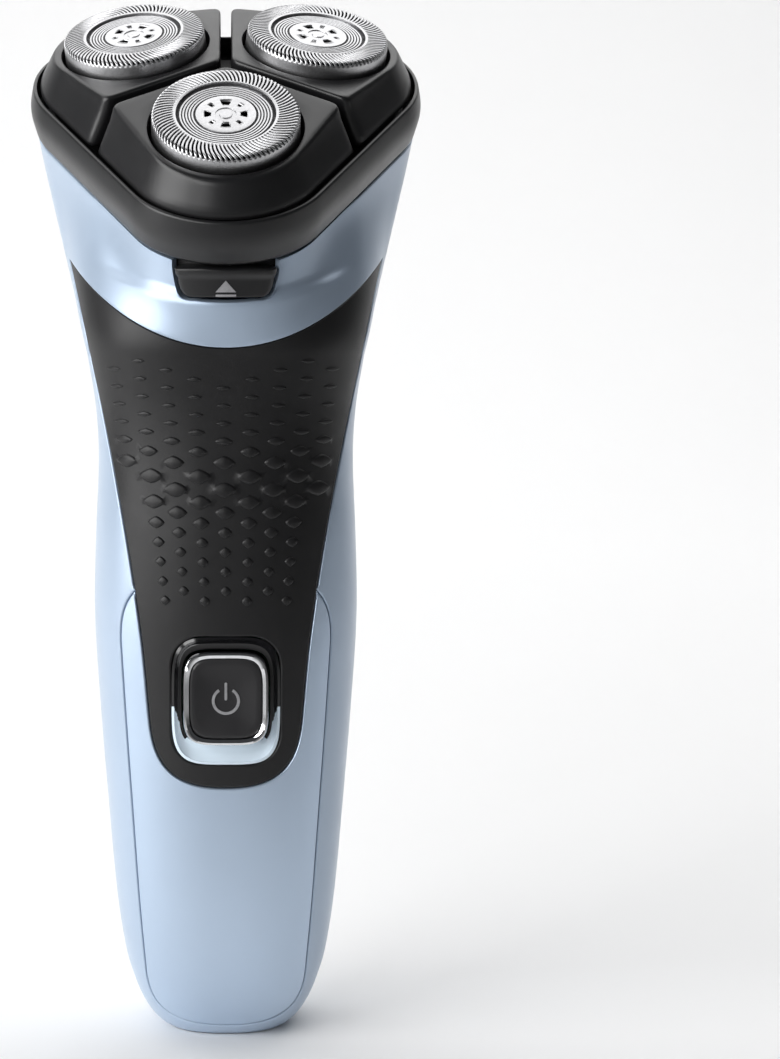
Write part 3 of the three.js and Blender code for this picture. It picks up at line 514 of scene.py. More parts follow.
# Triangles over a panel that keep every border, detail ring and grid point. New points number from total.
def fill_panel(borders, details, grid, total):
    points, links, known = [], [], []

    def add_loop(ring, numbers):
        start, count = len(points), len(ring)
        points.extend(ring)
        known.extend(numbers)
        links.extend((start + i, start + (i + 1) % count) for i in range(count))

    for ring, first in borders:
        add_loop(ring, range(first, first + len(ring)))
    for detail in details:
        for ring in detail["rings"]:
            add_loop(ring, [-1] * len(ring))
    points.extend(grid)
    known.extend([-1] * len(grid))
    found = geometry.delaunay_2d_cdt([Vector(p) for p in points], links, [], 0, 1e-7)
    flat = np.array([tuple(v) for v in found[0]])
    triangles = np.array([t for t in found[2] if len(t) == 3])
    triangles = triangles[on_panel(flat[triangles].mean(axis=1), borders)]
    index = np.empty(len(flat), int)
    extra = []
    for i, sources in enumerate(found[3]):
        ready = [known[k] for k in sources if known[k] >= 0]
        if ready:
            index[i] = ready[0]
        else:
            index[i] = total + len(extra)
            extra.append(flat[i])
    return extra, [tuple(int(v) for v in index[t]) for t in triangles]


# A piece of the surface inside an outline, with rounded edges, side walls and optional relief.
def panel(outline, holes, side, spacing, rounding=0.35, depth=1.2, lift=0.0, relief=None, details=(),
          edge=0.45):
    loops = [resample(outline, edge)] + [resample(hole, edge) for hole in holes]
    rings, drops, faces, borders = panel_walls(loops, rounding, depth)
    grid = panel_grid(loops[0], borders, spacing, details)
    extra, triangles = fill_panel(borders, details, grid, sum(len(ring) for ring in rings))
    if extra:
        rings.append(np.array(extra))
        drops.append(np.zeros(len(extra)))
    chart, drop = np.vstack(rings), np.concatenate(drops)
    angle, s = from_chart(chart, side)
    base = surface(angle, s)
    height = lift - drop
    if relief is not None:
        height = height + relief(base, chart) * (drop < rounding * 0.999)
    return base + surface_normals(angle, s) * height[:, None], faces + triangles


def arc_points(start, control_a, control_b, end, count=24):
    t = np.linspace(0, 1, count)[:, None]
    start, control_a, control_b, end = (np.array(p, float) for p in (start, control_a, control_b, end))
    return ((1 - t) ** 3 * start + 3 * (1 - t) ** 2 * t * control_a
            + 3 * (1 - t) * t ** 2 * control_b + t ** 3 * end)


def smooth_line(points, count=16):
    points = np.asarray(points, float)
    padded = np.vstack([2 * points[0] - points[1], points, 2 * points[-1] - points[-2]])
    out = []
    for i in range(1, len(padded) - 2):
        t = np.linspace(0, 1, count, endpoint=False)[:, None]
        tangent_a = (padded[i + 1] - padded[i - 1]) / 2
        tangent_b = (padded[i + 2] - padded[i]) / 2
        out.append(hermite(padded[i], tangent_a, padded[i + 1], tangent_b, t))
    out.append(points[-1:])
    return np.vstack(out)


def flipped(half):
    return (half * [-1, 1])[::-1]


GRIP_TIP = (24.1, 120.4)
GRIP_SIDE = [GRIP_TIP, (21.7, 111.6), (19.9, 103.2), (16.9, 89.2), (14.5, 76.4), (12.6, 63.5), (11.5, 51.6)]
GRIP_FOOT = 41.3
PANEL_TOP = 71.2
PANEL_SIDE = [(15.75, 62), (15.05, 50), (14.2, 37), (13.3, 23), (12.3, 10.5)]


# Right half of the grip's side, from the tip down to the middle of its foot.
def grip_side(grow=0.0):
    line = smooth_line(GRIP_SIDE) + [grow, 0]
    foot_z = GRIP_FOOT - grow
    foot = arc_points((11.5 + grow, 51.6), (10.9 + grow, 44.1), (7.8 + grow, foot_z), (0, foot_z))
    return np.vstack([line, foot[1:]])


def grip_top(grow=0.0):
    tip_x, tip_z = GRIP_TIP[0] + grow, GRIP_TIP[1]
    return arc_points((-tip_x, tip_z), (-9.6, 103 + grow), (9.6, 103 + grow), (tip_x, tip_z), 60)


def grip_outline(grow=0.0):
    right = grip_side(grow)
    return np.vstack([right, flipped(right)[1:], grip_top(grow)[1:-1]])


# Right half of the front panel's outer edge, from the grip down to the middle of its foot.
def panel_side(grow=0.0):
    shoulder = arc_points((13.5, PANEL_TOP - 0.1 + grow), (15.1 + grow, PANEL_TOP - 1.8 + grow),
                          (16.1 + grow, 67), (15.75 + grow, 62))
    side = smooth_line([(x + grow, z) for x, z in PANEL_SIDE])
    foot = arc_points((12.3 + grow, 10.5), (11.7 + grow, 4.4 - grow), (8.4, 2.3 - grow), (0, 2.3 - grow))
    return np.vstack([shoulder, side[1:], foot[1:]])


def rounded_rectangle(half_x, half_z, radius, middle_z=0.0, count=10):
    corners = [(half_x - radius, half_z - radius, 0), (-half_x + radius, half_z - radius, 90),
               (-half_x + radius, -half_z + radius, 180), (half_x - radius, -half_z + radius, 270)]
    out = []
    for x, z, start in corners:
        for a in np.radians(np.linspace(start, start + 90, count)):
            out.append((x + radius * math.cos(a), middle_z + z + radius * math.sin(a)))
    return np.array(out)


def chart_loop(points, side, spacing=0.4):
    loop = resample(points, spacing)
    return to_chart(loop[:, 0], loop[:, 1], side)


# Halves a span until it holds where beyond() turns true; gives the side short of it.
def bisect(low, high, beyond, rounds):
    for _ in range(rounds):
        middle = (low + high) / 2
        past = beyond(middle)
        high = np.where(past, middle, high)
        low = np.where(past, low, middle)
    return low


# Angle of the seam between the shells at coordinate s, on the right; gap moves it towards the front.
def parting_angle(s, gap):
    def behind(angle):
        point = surface(angle, s)
        return point[..., 1] > PARTING_Y + PARTING_SLOPE * point[..., 2] - gap

    return bisect(np.full_like(s, -math.pi / 2), np.full_like(s, math.pi / 2), behind, 40)


def shell_outline(side):
    s = np.linspace(0, S_TOP, 160)
    angle = parting_angle(s, -side * SEAM / 2)
    right = np.stack([(angle - side * math.pi / 2) * ANGLE_SCALE, s], axis=-1)
    return np.vstack([right, flipped(right)])


# Points round the foot of a shell, for the face that closes it.
def foot_cap(side):
    edge = float(parting_angle(np.array([0.0]), -side * SEAM / 2)[0])
    angle = np.linspace(edge, side * math.pi - edge, 60)
    return surface(angle, np.zeros_like(angle))


def smoothstep(low, high, value):
    t = np.clip((value - low) / (high - low), 0, 1)
    return t * t * (3 - 2 * t)


# Thumb scoop round the release key.
def collar_relief(base, chart):
    x, z = base[:, 0], base[:, 2]
    edge = 113.3 + 0.0135 * x ** 2
    depth = 0.75 * smoothstep(0.0, 2.2, z - edge) * smoothstep(20.5, 15.5, np.abs(x))
    fade = smoothstep(0.0, 1.0, -base[:, 1] / 6.0)
    return -depth * fade


def key_outline(grow, top):
    low = KEY_BOTTOM - grow
    corner = 2.6

    def half(z):
        return KEY_HALF + grow - 0.15 * (KEY_TOP - z)

    right = arc_points((half(low) - corner, low), (half(low) - 0.5, low), (half(low), low + 0.5),
                       (half(low + corner), low + corner), 10)
    right = np.vstack([right, [[half(top), top]]])
    return np.vstack([right, flipped(right)])


# Edge of the opening in the front shell that holds the grip and the front panel.
def front_opening():
    side = smooth_line(GRIP_SIDE) + [SEAM, 0]
    right = np.vstack([side[side[:, 1] > PANEL_TOP + 0.2], panel_side(SEAM)])
    return np.vstack([right, flipped(right)[1:], grip_top(SEAM)[1:-1]])


# Outline of the front shell, with the release key's notch in its rim.
def notched_outline():
    right, left = np.split(shell_outline(-1), 2)
    notch = to_chart(*key_outline(KEY_GAP, KEY_TOP + 0.3).T, -1)
    notch = notch[np.argsort(notch[:, 0])]
    return np.vstack([right, [notch[-1][0], S_TOP], notch[::-1], [notch[0][0], S_TOP], left])


def add_shell(name, outline, holes, side, spacing, edge, relief=None):
    vertices, faces = panel(outline, holes, side, spacing, rounding=0.22, depth=1.5, relief=relief,
                            edge=edge)
    cap = foot_cap(side)
    faces.append(tuple(range(len(vertices), len(vertices) + len(cap))))
    finish_piece(f"{name}_skin", (np.vstack([vertices, cap]), faces), "blue", "handle",
                 [name], recalc=False)


def add_shells():
    opening = chart_loop(front_opening(), -1)
    add_shell("front_shell", notched_outline(), [opening], -1, 1.1, 0.4, collar_relief)
    slider_half = (SLIDER["top"] - SLIDER["bottom"]) / 2 + SLIDER["travel"] - 1
    slider_middle = (SLIDER["top"] + SLIDER["bottom"]) / 2
    holes = [
        back_outline(REAR_GRIP, SEAM),
        back_outline(TRIMMER, FIT),
        rounded_rectangle(SLIDER["half"] - 1.2, slider_half, 1.4, slider_middle),
        rounded_rectangle(PORT["half"][0] + 1.2, PORT["half"][1] + 1.2, 2.6, PORT["z"]),
    ]
    add_shell("rear_shell", shell_outline(1), [chart_loop(hole, 1) for hole in holes], 1, 1.3, 0.45)


def back_outline(part, grow):
    half = (part["top"] - part["bottom"]) / 2 + grow
    return rounded_rectangle(part["half"] + grow, half, part["radius"], (part["top"] + part["bottom"]) / 2)


# ------------------------------------------------------------------ grip and its raised diamonds


BUMP_PITCH = (3.26, 2.91)  # between columns, and between rows away from the band
BUMP_STARTS = (71.4, 69.9)  # lowest row of the even and of the odd columns
BUMP_TOP = 105.5
BUMP_COLUMNS = 5  # on each side of the middle one
BAND_Z = 87.3  # where the diamonds are largest


def bump_size(z):
    swell = math.exp(-((z - BAND_Z) / 6.2) ** 2)
    half_x = 0.8 + 1.1 * swell + 0.25 * smoothstep(90, 96, z)
    half_z = 0.76 + 0.4 * swell - 0.42 * smoothstep(89, 97, z)
    return half_x, half_z


# Heights of the diamonds in one column: wider apart where they are largest.
def bump_rows(start):
    z, rows = start, []
    while z < BUMP_TOP:
        rows.append(z)
        crowding = 0.29 * smoothstep(90.5, 94.5, z)
        z += BUMP_PITCH[1] + 1.1 * math.exp(-((z - 86.3) / 3.5) ** 2) - crowding
    return rows


def bump_places():
    places = []
    side_z, side_x = zip(*sorted((z, x) for x, z in GRIP_SIDE + [(0, GRIP_FOOT)]))
    for column in range(-BUMP_COLUMNS, BUMP_COLUMNS + 1):
        for z in bump_rows(BUMP_STARTS[column % 2]):
            spread = (1 + 0.0105 * (z - 72)) * (1 - 0.018 * abs(column))
            x = column * BUMP_PITCH[0] * spread - 0.012 * (z - 70)
            side = np.interp(z, side_z, side_x)
            top = 106.2 + 13.4 * (abs(x) / 23.5) ** 2.2
            limit = side - 2.3 - 2.1 * smoothstep(86, 71, z)
            if abs(x) < limit and z < top - 2.2:
                places.append((x, z))
    return places


def diamond(x, z, half_x, half_z, count=20, sharp=1.35):
    angle = polar(count)
    radius = oval(angle, 1, 1, sharp)
    return np.stack([x + half_x * radius * np.cos(angle), z + half_z * radius * np.sin(angle)], axis=-1)


def add_grip():
    details, peaks = [], []
    for x, z in bump_places():
        half_x, half_z = bump_size(z)
        rings = []
        for share in (1.0, 0.88, 0.7):
            points = diamond(x, z, half_x * share, half_z * share)
            rings.append(to_chart(points[:, 0], points[:, 1], -1))
        centre = rings[0].mean(axis=0)
        reach = np.linalg.norm(rings[0] - centre, axis=1).max() + 0.3
        details.append({"rings": rings, "centre": centre, "radius": reach})
        peaks.append((centre, half_x, half_z, rings))

    def relief(base, chart):
        height = np.zeros(len(chart))
        for centre, half_x, half_z, rings in peaks:
            near = np.linalg.norm(chart - centre, axis=1) < max(half_x, half_z) * 1.4
            if not near.any():
                continue
            place = np.where(near)[0]
            points = chart[place]
            inner = distance_to_polygon(points, rings[2]) < 0.02
            inner |= inside_polygon(points, rings[2])
            middle = distance_to_polygon(points, rings[1]) < 0.02
            tall = 0.13 + 0.15 * min(1.0, half_z)
            height[place] = np.where(inner, tall, np.where(middle, tall * 0.7, height[place]))
        return height

    hole = chart_loop(rounded_rectangle(WELL_HALF[0], WELL_HALF[1], 4.6, WELL_Z), -1)
    shape = panel(chart_loop(grip_outline(), -1), [hole], -1, 1.0, rounding=0.3, depth=1.1,
                  relief=relief, details=details, edge=0.4)
    finish_piece("grip_skin", shape, "soft", "handle", ["grip"], angle=50, recalc=False)


def add_front_panel():
    right = panel_side()
    inner = grip_side(SEAM)
    inner = inner[inner[:, 1] < PANEL_TOP - 0.8]
    outline = np.vstack([inner * [-1, 1], inner[::-1][1:], right, flipped(right)[1:]])
    shape = panel(chart_loop(outline, -1, 0.3), [], -1, 1.1, rounding=0.25, depth=1.1, edge=0.4)
    finish_piece("front_panel_skin", shape, "gloss", "handle", ["front_panel"], recalc=False)


def add_rear_covers():
    shape = panel(chart_loop(back_outline(REAR_GRIP, 0), 1), [], 1, 1.1, depth=1.1, relief=rear_ribs)
    finish_piece("rear_grip_skin", shape, "soft", "handle", ["rear_grip"], recalc=False)


# Shallow cross ribs on the rear grip.
def rear_ribs(base, chart):
    z = base[:, 2]
    inside = smoothstep(24, 27, z) * smoothstep(68, 65, z) * smoothstep(10.5, 8.5, np.abs(base[:, 0]))
    return -0.28 * inside * (0.5 - 0.5 * np.cos(2 * math.pi * (z - 24) / 4.1)) ** 3


# ------------------------------------------------------------------ power button

BUTTON_POWER = 4.4  # squareness of the button's outline
BUTTON_FRONT = -17.35  # places in y, from the front inwards
RING_INSIDE = -15.4
FACE_BACK = -14.6
RING_BACK = -14.4
WELL_BACK = -12.4


def superellipse(half_x, half_z, power, middle_z, count=160):
    angle = polar(count)
    radius = oval(angle, half_x, half_z, power)
    return np.stack([radius * np.cos(angle), 0 * angle, middle_z + radius * np.sin(angle)], axis=-1)


def at_depth(ring, y):
    out = ring.copy()
    out[:, 1] = y
    return out


def front_depth(ring, offset=0.0):
    z = ring[:, 2]
    half_x, half_y = handle_value(z, 1), handle_value(z, 2)
    return -half_y * (1 - np.abs(ring[:, 0] / half_x) ** SQUARENESS) ** (1 / SQUARENESS) + offset


def following(ring, offset):
    out = ring.copy()
    out[:, 1] = front_depth(ring, offset)
    return out


def button_outline(inset):
    return superellipse(BUTTON_HALF[0] - inset, BUTTON_HALF[1] - inset, BUTTON_POWER, BUTTON_Z)


def add_button_frame():
    outer = superellipse(WELL_HALF[0] - 0.08, WELL_HALF[1] - 0.08, 4.2, WELL_Z)
    lip = superellipse(WELL_HALF[0] - 0.45, WELL_HALF[1] - 0.45, 4.2, WELL_Z)
    slope = superellipse(BUTTON_HALF[0] + 0.65, BUTTON_HALF[1] + 1.0, BUTTON_POWER, BUTTON_Z + 0.1)
    floor = superellipse(BUTTON_HALF[0] + FIT, BUTTON_HALF[1] + FIT, 4.6, BUTTON_Z)
    rings = [following(outer, 1.6), following(outer, 0.12), following(lip, 0.02), following(lip, 0.18)]
    steps = 7
    for i in range(1, steps + 1):
        t = i / steps
        ring = lip * (1 - t) + slope * t
        ring[:, 1] = front_depth(ring, 0.18 + 1.15 * math.sin(t * math.pi / 2))
        rings.append(ring)
    rings += [following(floor, 1.35), at_depth(floor, WELL_BACK)]
    piece = finish_piece("button_frame_skin", ring_loft(rings), "piano", "handle",
                         ["button_frame"], recalc=False)
    paint_lower_crescent_glow(piece)


def add_power_ring():
    outer, inner = button_outline(0), button_outline(0.87)
    rings = [at_depth(outer, RING_BACK), at_depth(outer, BUTTON_FRONT + 0.35),
             at_depth(button_outline(0.1), BUTTON_FRONT + 0.08), at_depth(button_outline(0.4), BUTTON_FRONT),
             at_depth(inner, BUTTON_FRONT + 0.25), at_depth(inner, RING_INSIDE)]
    finish_piece("power_ring_skin", ring_loft(rings), "chrome", "power_key",
                 ["power_button_ring"], recalc=False)


# The dark face: a dished disc, given as shares of its size and depths behind the front.
def add_power_face():
    half_x, half_z = FACE_HALF[0] + 0.07, FACE_HALF[1] + 0.07
    edge = superellipse(half_x, half_z, BUTTON_POWER, BUTTON_Z)
    rings = [at_depth(edge, FACE_BACK), at_depth(edge, BUTTON_FRONT + 0.62)]
    for share, depth in ((0.975, 0.42), (0.93, 0.36), (0.8, 0.44), (0.5, 0.62), (0.2, 0.7)):
        ring = superellipse(half_x * share, half_z * share, BUTTON_POWER - 1.6 * (1 - share), BUTTON_Z)
        rings.append(at_depth(ring, BUTTON_FRONT + depth))
    finish_piece("power_face_skin", ring_loft(rings, cap_last=True), "charcoal", "power_key",
                 ["power_button"], recalc=False)


# The foot of the recess is a translucent crescent whose pale bluish colour is painted glow, standing in for
# the light that the crescent gives off; the rest is gloss black.
def paint_lower_crescent_glow(piece):
    piece.data.materials.append(MATS["pearl"])
    for polygon in piece.data.polygons:
        centre = polygon.center / MM
        rise = 6.5 * smoothstep(BUTTON_HALF[0] - 0.4, WELL_HALF[0], abs(centre.x))
        if centre.z < BUTTON_Z - 4.7 - 0.045 * centre.x ** 2 + rise:
            polygon.material_index = 1


def add_power_symbol():
    outer, inner = 2.1, 1.68
    gap = math.radians(32)
    angle = np.linspace(math.pi / 2 + gap, math.pi * 2.5 - gap, 60)
    circle = np.stack([np.cos(angle), np.sin(angle)], axis=-1)
    ring = np.vstack([outer * circle, (inner * circle)[::-1]])
    bar = rounded_rectangle(0.2, 1.35, 0.19, 1.45, 5)
    for name, shape in (("power_symbol_ring", ring), ("power_symbol_bar", bar)):
        flat_badge(name, shape + [0, BUTTON_Z - 0.35], BUTTON_FRONT + 0.66, 0.1, "icon", "power_key")


# A thin flat plate facing the front.
def flat_badge(name, shape, y, thick, look, body):
    count = len(shape)
    back = np.stack([shape[:, 0], np.full(count, y + thick), shape[:, 1]], axis=-1)
    front = np.stack([shape[:, 0], np.full(count, y - thick), shape[:, 1]], axis=-1)
    faces = strip_faces(2, count)
    faces += [tuple(range(count)), tuple(range(count, 2 * count))]
    finish_piece(name, (np.vstack([back, front]), faces), look, body, angle=30)


# ------------------------------------------------------------------ release key

EJECT_HALF = 1.45
EJECT_BAR = (114.98, 115.3)  # bottom and top
EJECT_TRIANGLE = (115.62, 117.25)


def add_release_key():
    outline = key_outline(-0.12, KEY_TOP + 0.1)
    shape = panel(to_chart(*resample(outline, 0.25).T, -1), [], -1, 0.7, rounding=0.6, depth=3.2,
                  lift=0.12, relief=key_relief, edge=0.25)
    finish_piece("release_key_skin", shape, "black", "release", ["release_key"], recalc=False)
    low, high = EJECT_TRIANGLE
    triangle = [(-EJECT_HALF, low), (EJECT_HALF, low), (0, high)]
    low, high = EJECT_BAR
    bar = [(-EJECT_HALF, low), (EJECT_HALF, low), (EJECT_HALF, high), (-EJECT_HALF, high)]
    for name, shape in (("eject_symbol", triangle), ("eject_bar", bar)):
        surface_badge(name, shape, 0.3, "icon", "release")


# A thin plate that follows the front surface, standing a little above it.
def surface_badge(name, shape, height, look, body):
    loop = resample(shape, 0.24)
    middle = loop.mean(axis=0)
    rings = [middle + (loop - middle) * share for share in (1.0, 1.0, 0.6, 0.25)]
    layers = []
    for ring, level in zip(rings, (0.0, height, height, height)):
        angle, s = locate(ring[:, 0], ring[:, 1], -1)
        layers.append(surface(angle, s) + surface_normals(angle, s) * level)
    finish_piece(name, ring_loft(layers, cap_last=True), look, body, angle=30)


def key_relief(base, chart):
    return 0.35 * smoothstep(117.4, 118.3, base[:, 2])


# ------------------------------------------------------------------ shaving unit

SLOT_X = 12
SLOT_PLACE = (22.6 - 1.7, -16.2)
SLOT_SIZE = (3.1, 6.4, 7.2)
CORNER_POWER = 26.0  # how tightly the petal's walls blend at its corners
FAR = 60.0  # stands for no limit on a petal's reach


def rounded_profile(corners):
    out = []
    count = len(corners)
    for i, (x, y, radius) in enumerate(corners):
        here = np.array([x, y])
        before = np.array(corners[i - 1][:2])
        after = np.array(corners[(i + 1) % count][:2])
        if radius <= 0:
            out.append(here)
            continue
        back = (before - here) / np.linalg.norm(before - here)
        ahead = (after - here) / np.linalg.norm(after - here)
        for t in np.linspace(0, 1, 6):
            a, b = here + back * radius, here + ahead * radius
            out.append((1 - t) ** 2 * a + 2 * (1 - t) * t * here + t ** 2 * b)
    return np.array(out)


def add_skirt():
    corners = [
        (14.2, -16.3, 0.1), (14.95, -16.3, 0.25), (15.5, -15.8, 0.3), (16.32, -12.2, 1.4), (15.62, -8.7, 0.5),
        (15.1, -8.8, 0.2), (15.08, -12.2, 0.2), (14.15, -13.0, 0.2),
    ]
    angle = polar(300)
    profile = rounded_profile(corners)
    rings = [head_to_world(head_ring(angle, rounding, level)) for rounding, level in profile]
    skirt = finish_piece("head_skirt_skin", ring_loft(rings, wrap=True), "black", "shaving_unit",
                         ["head_skirt"])
    cut_hinge_slots(skirt)


# Two slots in the skirt that clear the hinge: places and sizes in the head's own frame.
def cut_hinge_slots(piece):
    boxes = bmesh.new()
    for x in (-SLOT_X, SLOT_X):
        for vertex in bmesh.ops.create_cube(boxes, size=1)["verts"]:
            local = np.array([x, *SLOT_PLACE]) + np.array(vertex.co) * SLOT_SIZE
            vertex.co = Vector(head_to_world(local[None])[0] * MM)
    mesh = bpy.data.meshes.new("hinge_slot_tool")
    boxes.to_mesh(mesh)
    boxes.free()
    tool = bpy.data.objects.new("hinge_slot_tool", mesh)
    bpy.context.scene.collection.objects.link(tool)
    cut = piece.modifiers.new("slots", "BOOLEAN")
    cut.operation = "DIFFERENCE"
    cut.object = tool
    cut.solver = "EXACT"
    apply_modifiers(piece)
    bpy.data.objects.remove(tool)


def cell_frame(azimuth):
    place = np.array([HEAD_RADIUS * math.cos(azimuth), HEAD_RADIUS * math.sin(azimuth), 0.0])
    out = np.array([math.cos(azimuth), math.sin(azimuth), 0.0])
    along = np.array([-math.sin(azimuth), math.cos(azimuth), 0.0])
    up = np.array([0.0, 0.0, 1.0])
    c, s = math.cos(CELL_LEAN), math.sin(CELL_LEAN)
    lean_out = out * c - up * s
    lean_up = up * c + out * s
    return place, lean_out, along, lean_up


# Cell coordinates to the head's frame: first axis outwards, second along the lean axis, third up.
def cell_to_head(points, azimuth):
    place, out, along, up = cell_frame(azimuth)
    return place + points[..., [0]] * out + points[..., [1]] * along + points[..., [2]] * up


def head_to_cell(points, azimuth):
    place, out, along, up = cell_frame(azimuth)
    moved = points - place
    return np.stack([moved @ out, moved @ along, moved @ up], axis=-1)


EDGE_SOFT = 0.75  # rounding along the petal's top edge
# Level and rounding of the petal's wall, from its foot upwards.
PETAL_WALL = np.array([[PETAL_BASE, 14.5], [-8.4, 14.55], [-3.9, 12.35], [-1.5, 11.6], [1.0, 11.0]])


# Distance from a head's centre to the petal's side wall at a level, with soft vertical corners.
def petal_reach(angle, level, azimuth):
    rounding = np.interp(level, PETAL_WALL[:, 0], PETAL_WALL[:, 1])
    direction = angle + azimuth

    def plane(normal, distance):
        toward = np.cos(direction - normal)
        return np.where(toward > 0.05, distance / np.maximum(toward, 1e-3), FAR)

    groove = HEAD_RADIUS * math.sin(math.pi / 3) - GROOVE_HALF
    walls = [plane(azimuth + sign * math.pi / 3, rounding) for sign in (-1, 1)]
    grooves = [plane(azimuth + sign * (math.pi / 3 + math.pi / 2), groove) for sign in (-1, 1)]
    on_arc = np.abs(np.angle(np.exp(1j * angle))) < math.pi / 3
    outer = np.where(on_arc, rounding, np.minimum(*walls))
    mixed = outer ** -CORNER_POWER + grooves[0] ** -CORNER_POWER + grooves[1] ** -CORNER_POWER
    return mixed ** (-1 / CORNER_POWER)


def petal_point(angle, level, azimuth, shrink=0.0):
    reach = petal_reach(angle, level, azimuth) - shrink
    direction = angle + azimuth
    place = cell_frame(azimuth)[0]
    x, y = place[0] + reach * np.cos(direction), place[1] + reach * np.sin(direction)
    flat = np.stack([x, y, level + 0 * angle], axis=-1)
    return head_to_cell(flat, azimuth)


def well_ring(circle, radius, height):
    ring = circle * radius
    ring[:, 2] = height
    return ring


def add_petal(name, azimuth):
    angle = polar(320)
    circle = np.stack([np.cos(angle), np.sin(angle), 0 * angle], axis=-1)
    edge_level = bisect(np.full_like(angle, -9.0), np.full_like(angle, 1.0),
                        lambda level: petal_point(angle, level, azimuth)[:, 2] > PETAL_TOP, 30)
    edge = petal_point(angle, edge_level, azimuth)
    rings = [petal_point(angle, np.full_like(angle, PETAL_BASE), azimuth, 0.25)]
    for share in (0.04, 0.1, 0.25, 0.4, 0.55, 0.7, 0.82):
        rings.append(petal_point(angle, PETAL_BASE + (edge_level - PETAL_BASE) * share, azimuth))

    reach = np.linalg.norm(edge[:, :2], axis=1)
    near_wall = petal_point(angle, edge_level - EDGE_SOFT, azimuth)
    width = np.minimum(EDGE_SOFT, (reach - WELL_RADIUS) * 0.45)
    on_top = edge.copy()
    on_top[:, :2] *= ((reach - width) / reach)[:, None]
    for t in np.linspace(0, 1, 7):
        rings.append((1 - t) ** 2 * near_wall + 2 * t * (1 - t) * edge + t ** 2 * on_top)
    brim = well_ring(circle, WELL_RADIUS + 0.3, PETAL_TOP)
    rings += [on_top * (1 - share) + brim * share for share in (0.33, 0.66)] + [brim]
    rings += [well_ring(circle, WELL_RADIUS + grow, height) for grow, height in
              ((0.12, PETAL_TOP - 0.06), (0, PETAL_TOP - 0.3), (0, -6.4), (0.6, -8.2))]
    shape = ring_loft([head_to_world(cell_to_head(ring, azimuth)) for ring in rings], wrap=True)
    finish_piece(f"cell_{name}_skin", shape, "black", f"petal_{name}", [f"cell_{name}"])


# ------------------------------------------------------------------ guards

GUARD_SCALE = GUARD_RADIUS / 11.2  # the guard's rings below are drawn for a radius of 11.2
SLOTS = 90
SLOT_STEPS = 6
SLOT_OPEN = (1, 2, 3)  # the steps of each slot that are cut out
SLOT_LOW = 8.0
FACE_HEIGHT = -0.30
GROOVE_BOTTOM = -0.5  # anything lower on the guard's face is the floor of a groove
SHEET = 0.32
GUARD_SKIRT = [(11.22, -0.95), (11.24, -1.15), (11.28, -2.4), (11.34, -5.0)]
# A dark disc below the guard's face, painted shade: it stands where the slots and windows show only shade.
SHADE_SHEET = [(0.01, -1.6), (3.9, -1.6), (7.3, -1.7), (7.6, -2.6), (10.4, -2.7), (10.6, -4.8)]


# Radius and height of each ring on the plain middle of the guard.
def guard_profile():
    rows = [(0.55, FACE_HEIGHT), (0.95, FACE_HEIGHT), (1.0, -0.42), (1.55, -0.42), (1.6, FACE_HEIGHT)]
    rows += [(r, FACE_HEIGHT) for r in (1.9, 2.25, 2.7, 3.25, 3.8, 4.4)]
    rows += [(4.56, -0.32), (4.62, -0.62), (4.88, -0.62)]
    for i in range(5):
        start = 4.92 + i * 0.46
        rows += [(start, -0.40), (start + 0.24, -0.38), (start + 0.26, -0.55), (start + 0.43, -0.55)]
    return rows + [(7.24, -0.36), (7.3, -0.75), (7.52, -0.75), (7.58, -0.10), (7.8, -0.04)]


def slot_rows():
    face = [(r, -0.02) for r in np.linspace(SLOT_LOW, 10.5, 9)]
    edge = [(10.5 + 0.72 * math.sin(a), -0.74 + 0.72 * math.cos(a)) for a in np.radians([20, 40, 60, 78])]
    return face + edge


# A ring round a guard's axis, in the guard's own frame.
def guard_ring(radius, height, twist=0.0, count=SLOTS * SLOT_STEPS):
    angle = polar(count) + twist
    radius = radius * GUARD_SCALE
    return np.stack([radius * np.cos(angle), radius * np.sin(angle), np.full(count, height)], axis=-1)


def slot_sweep(radius):
    return 0.028 * (radius - SLOT_LOW) * (1 + 0.25 * (radius - SLOT_LOW))


# Faces between the rings, less the slots and windows, and which of them are groove floors; those get painted
# shade, the dark inner material in place of the steel.
def guard_faces(rows, first_slotted, last_slotted):
    count = SLOTS * SLOT_STEPS
    faces, groove_shade = [], []
    for row in range(len(rows) - 1):
        slotted = first_slotted <= row < last_slotted
        # Painted shade: groove floors on the guard's face are marked for the dark inner material.
        shade_painted = row < first_slotted - 1 and max(rows[row][1], rows[row + 1][1]) < GROOVE_BOTTOM
        for i in range(count):
            if slotted and i % SLOT_STEPS in SLOT_OPEN or window(rows[row][0], rows[row + 1][0], i / count):
                continue
            j = (i + 1) % count
            faces.append((row * count + i, (row + 1) * count + i, (row + 1) * count + j, row * count + j))
            groove_shade.append(shade_painted)
    centre = len(rows) * count
    faces += [(centre, i, (i + 1) % count) for i in range(count)]
    return faces, groove_shade


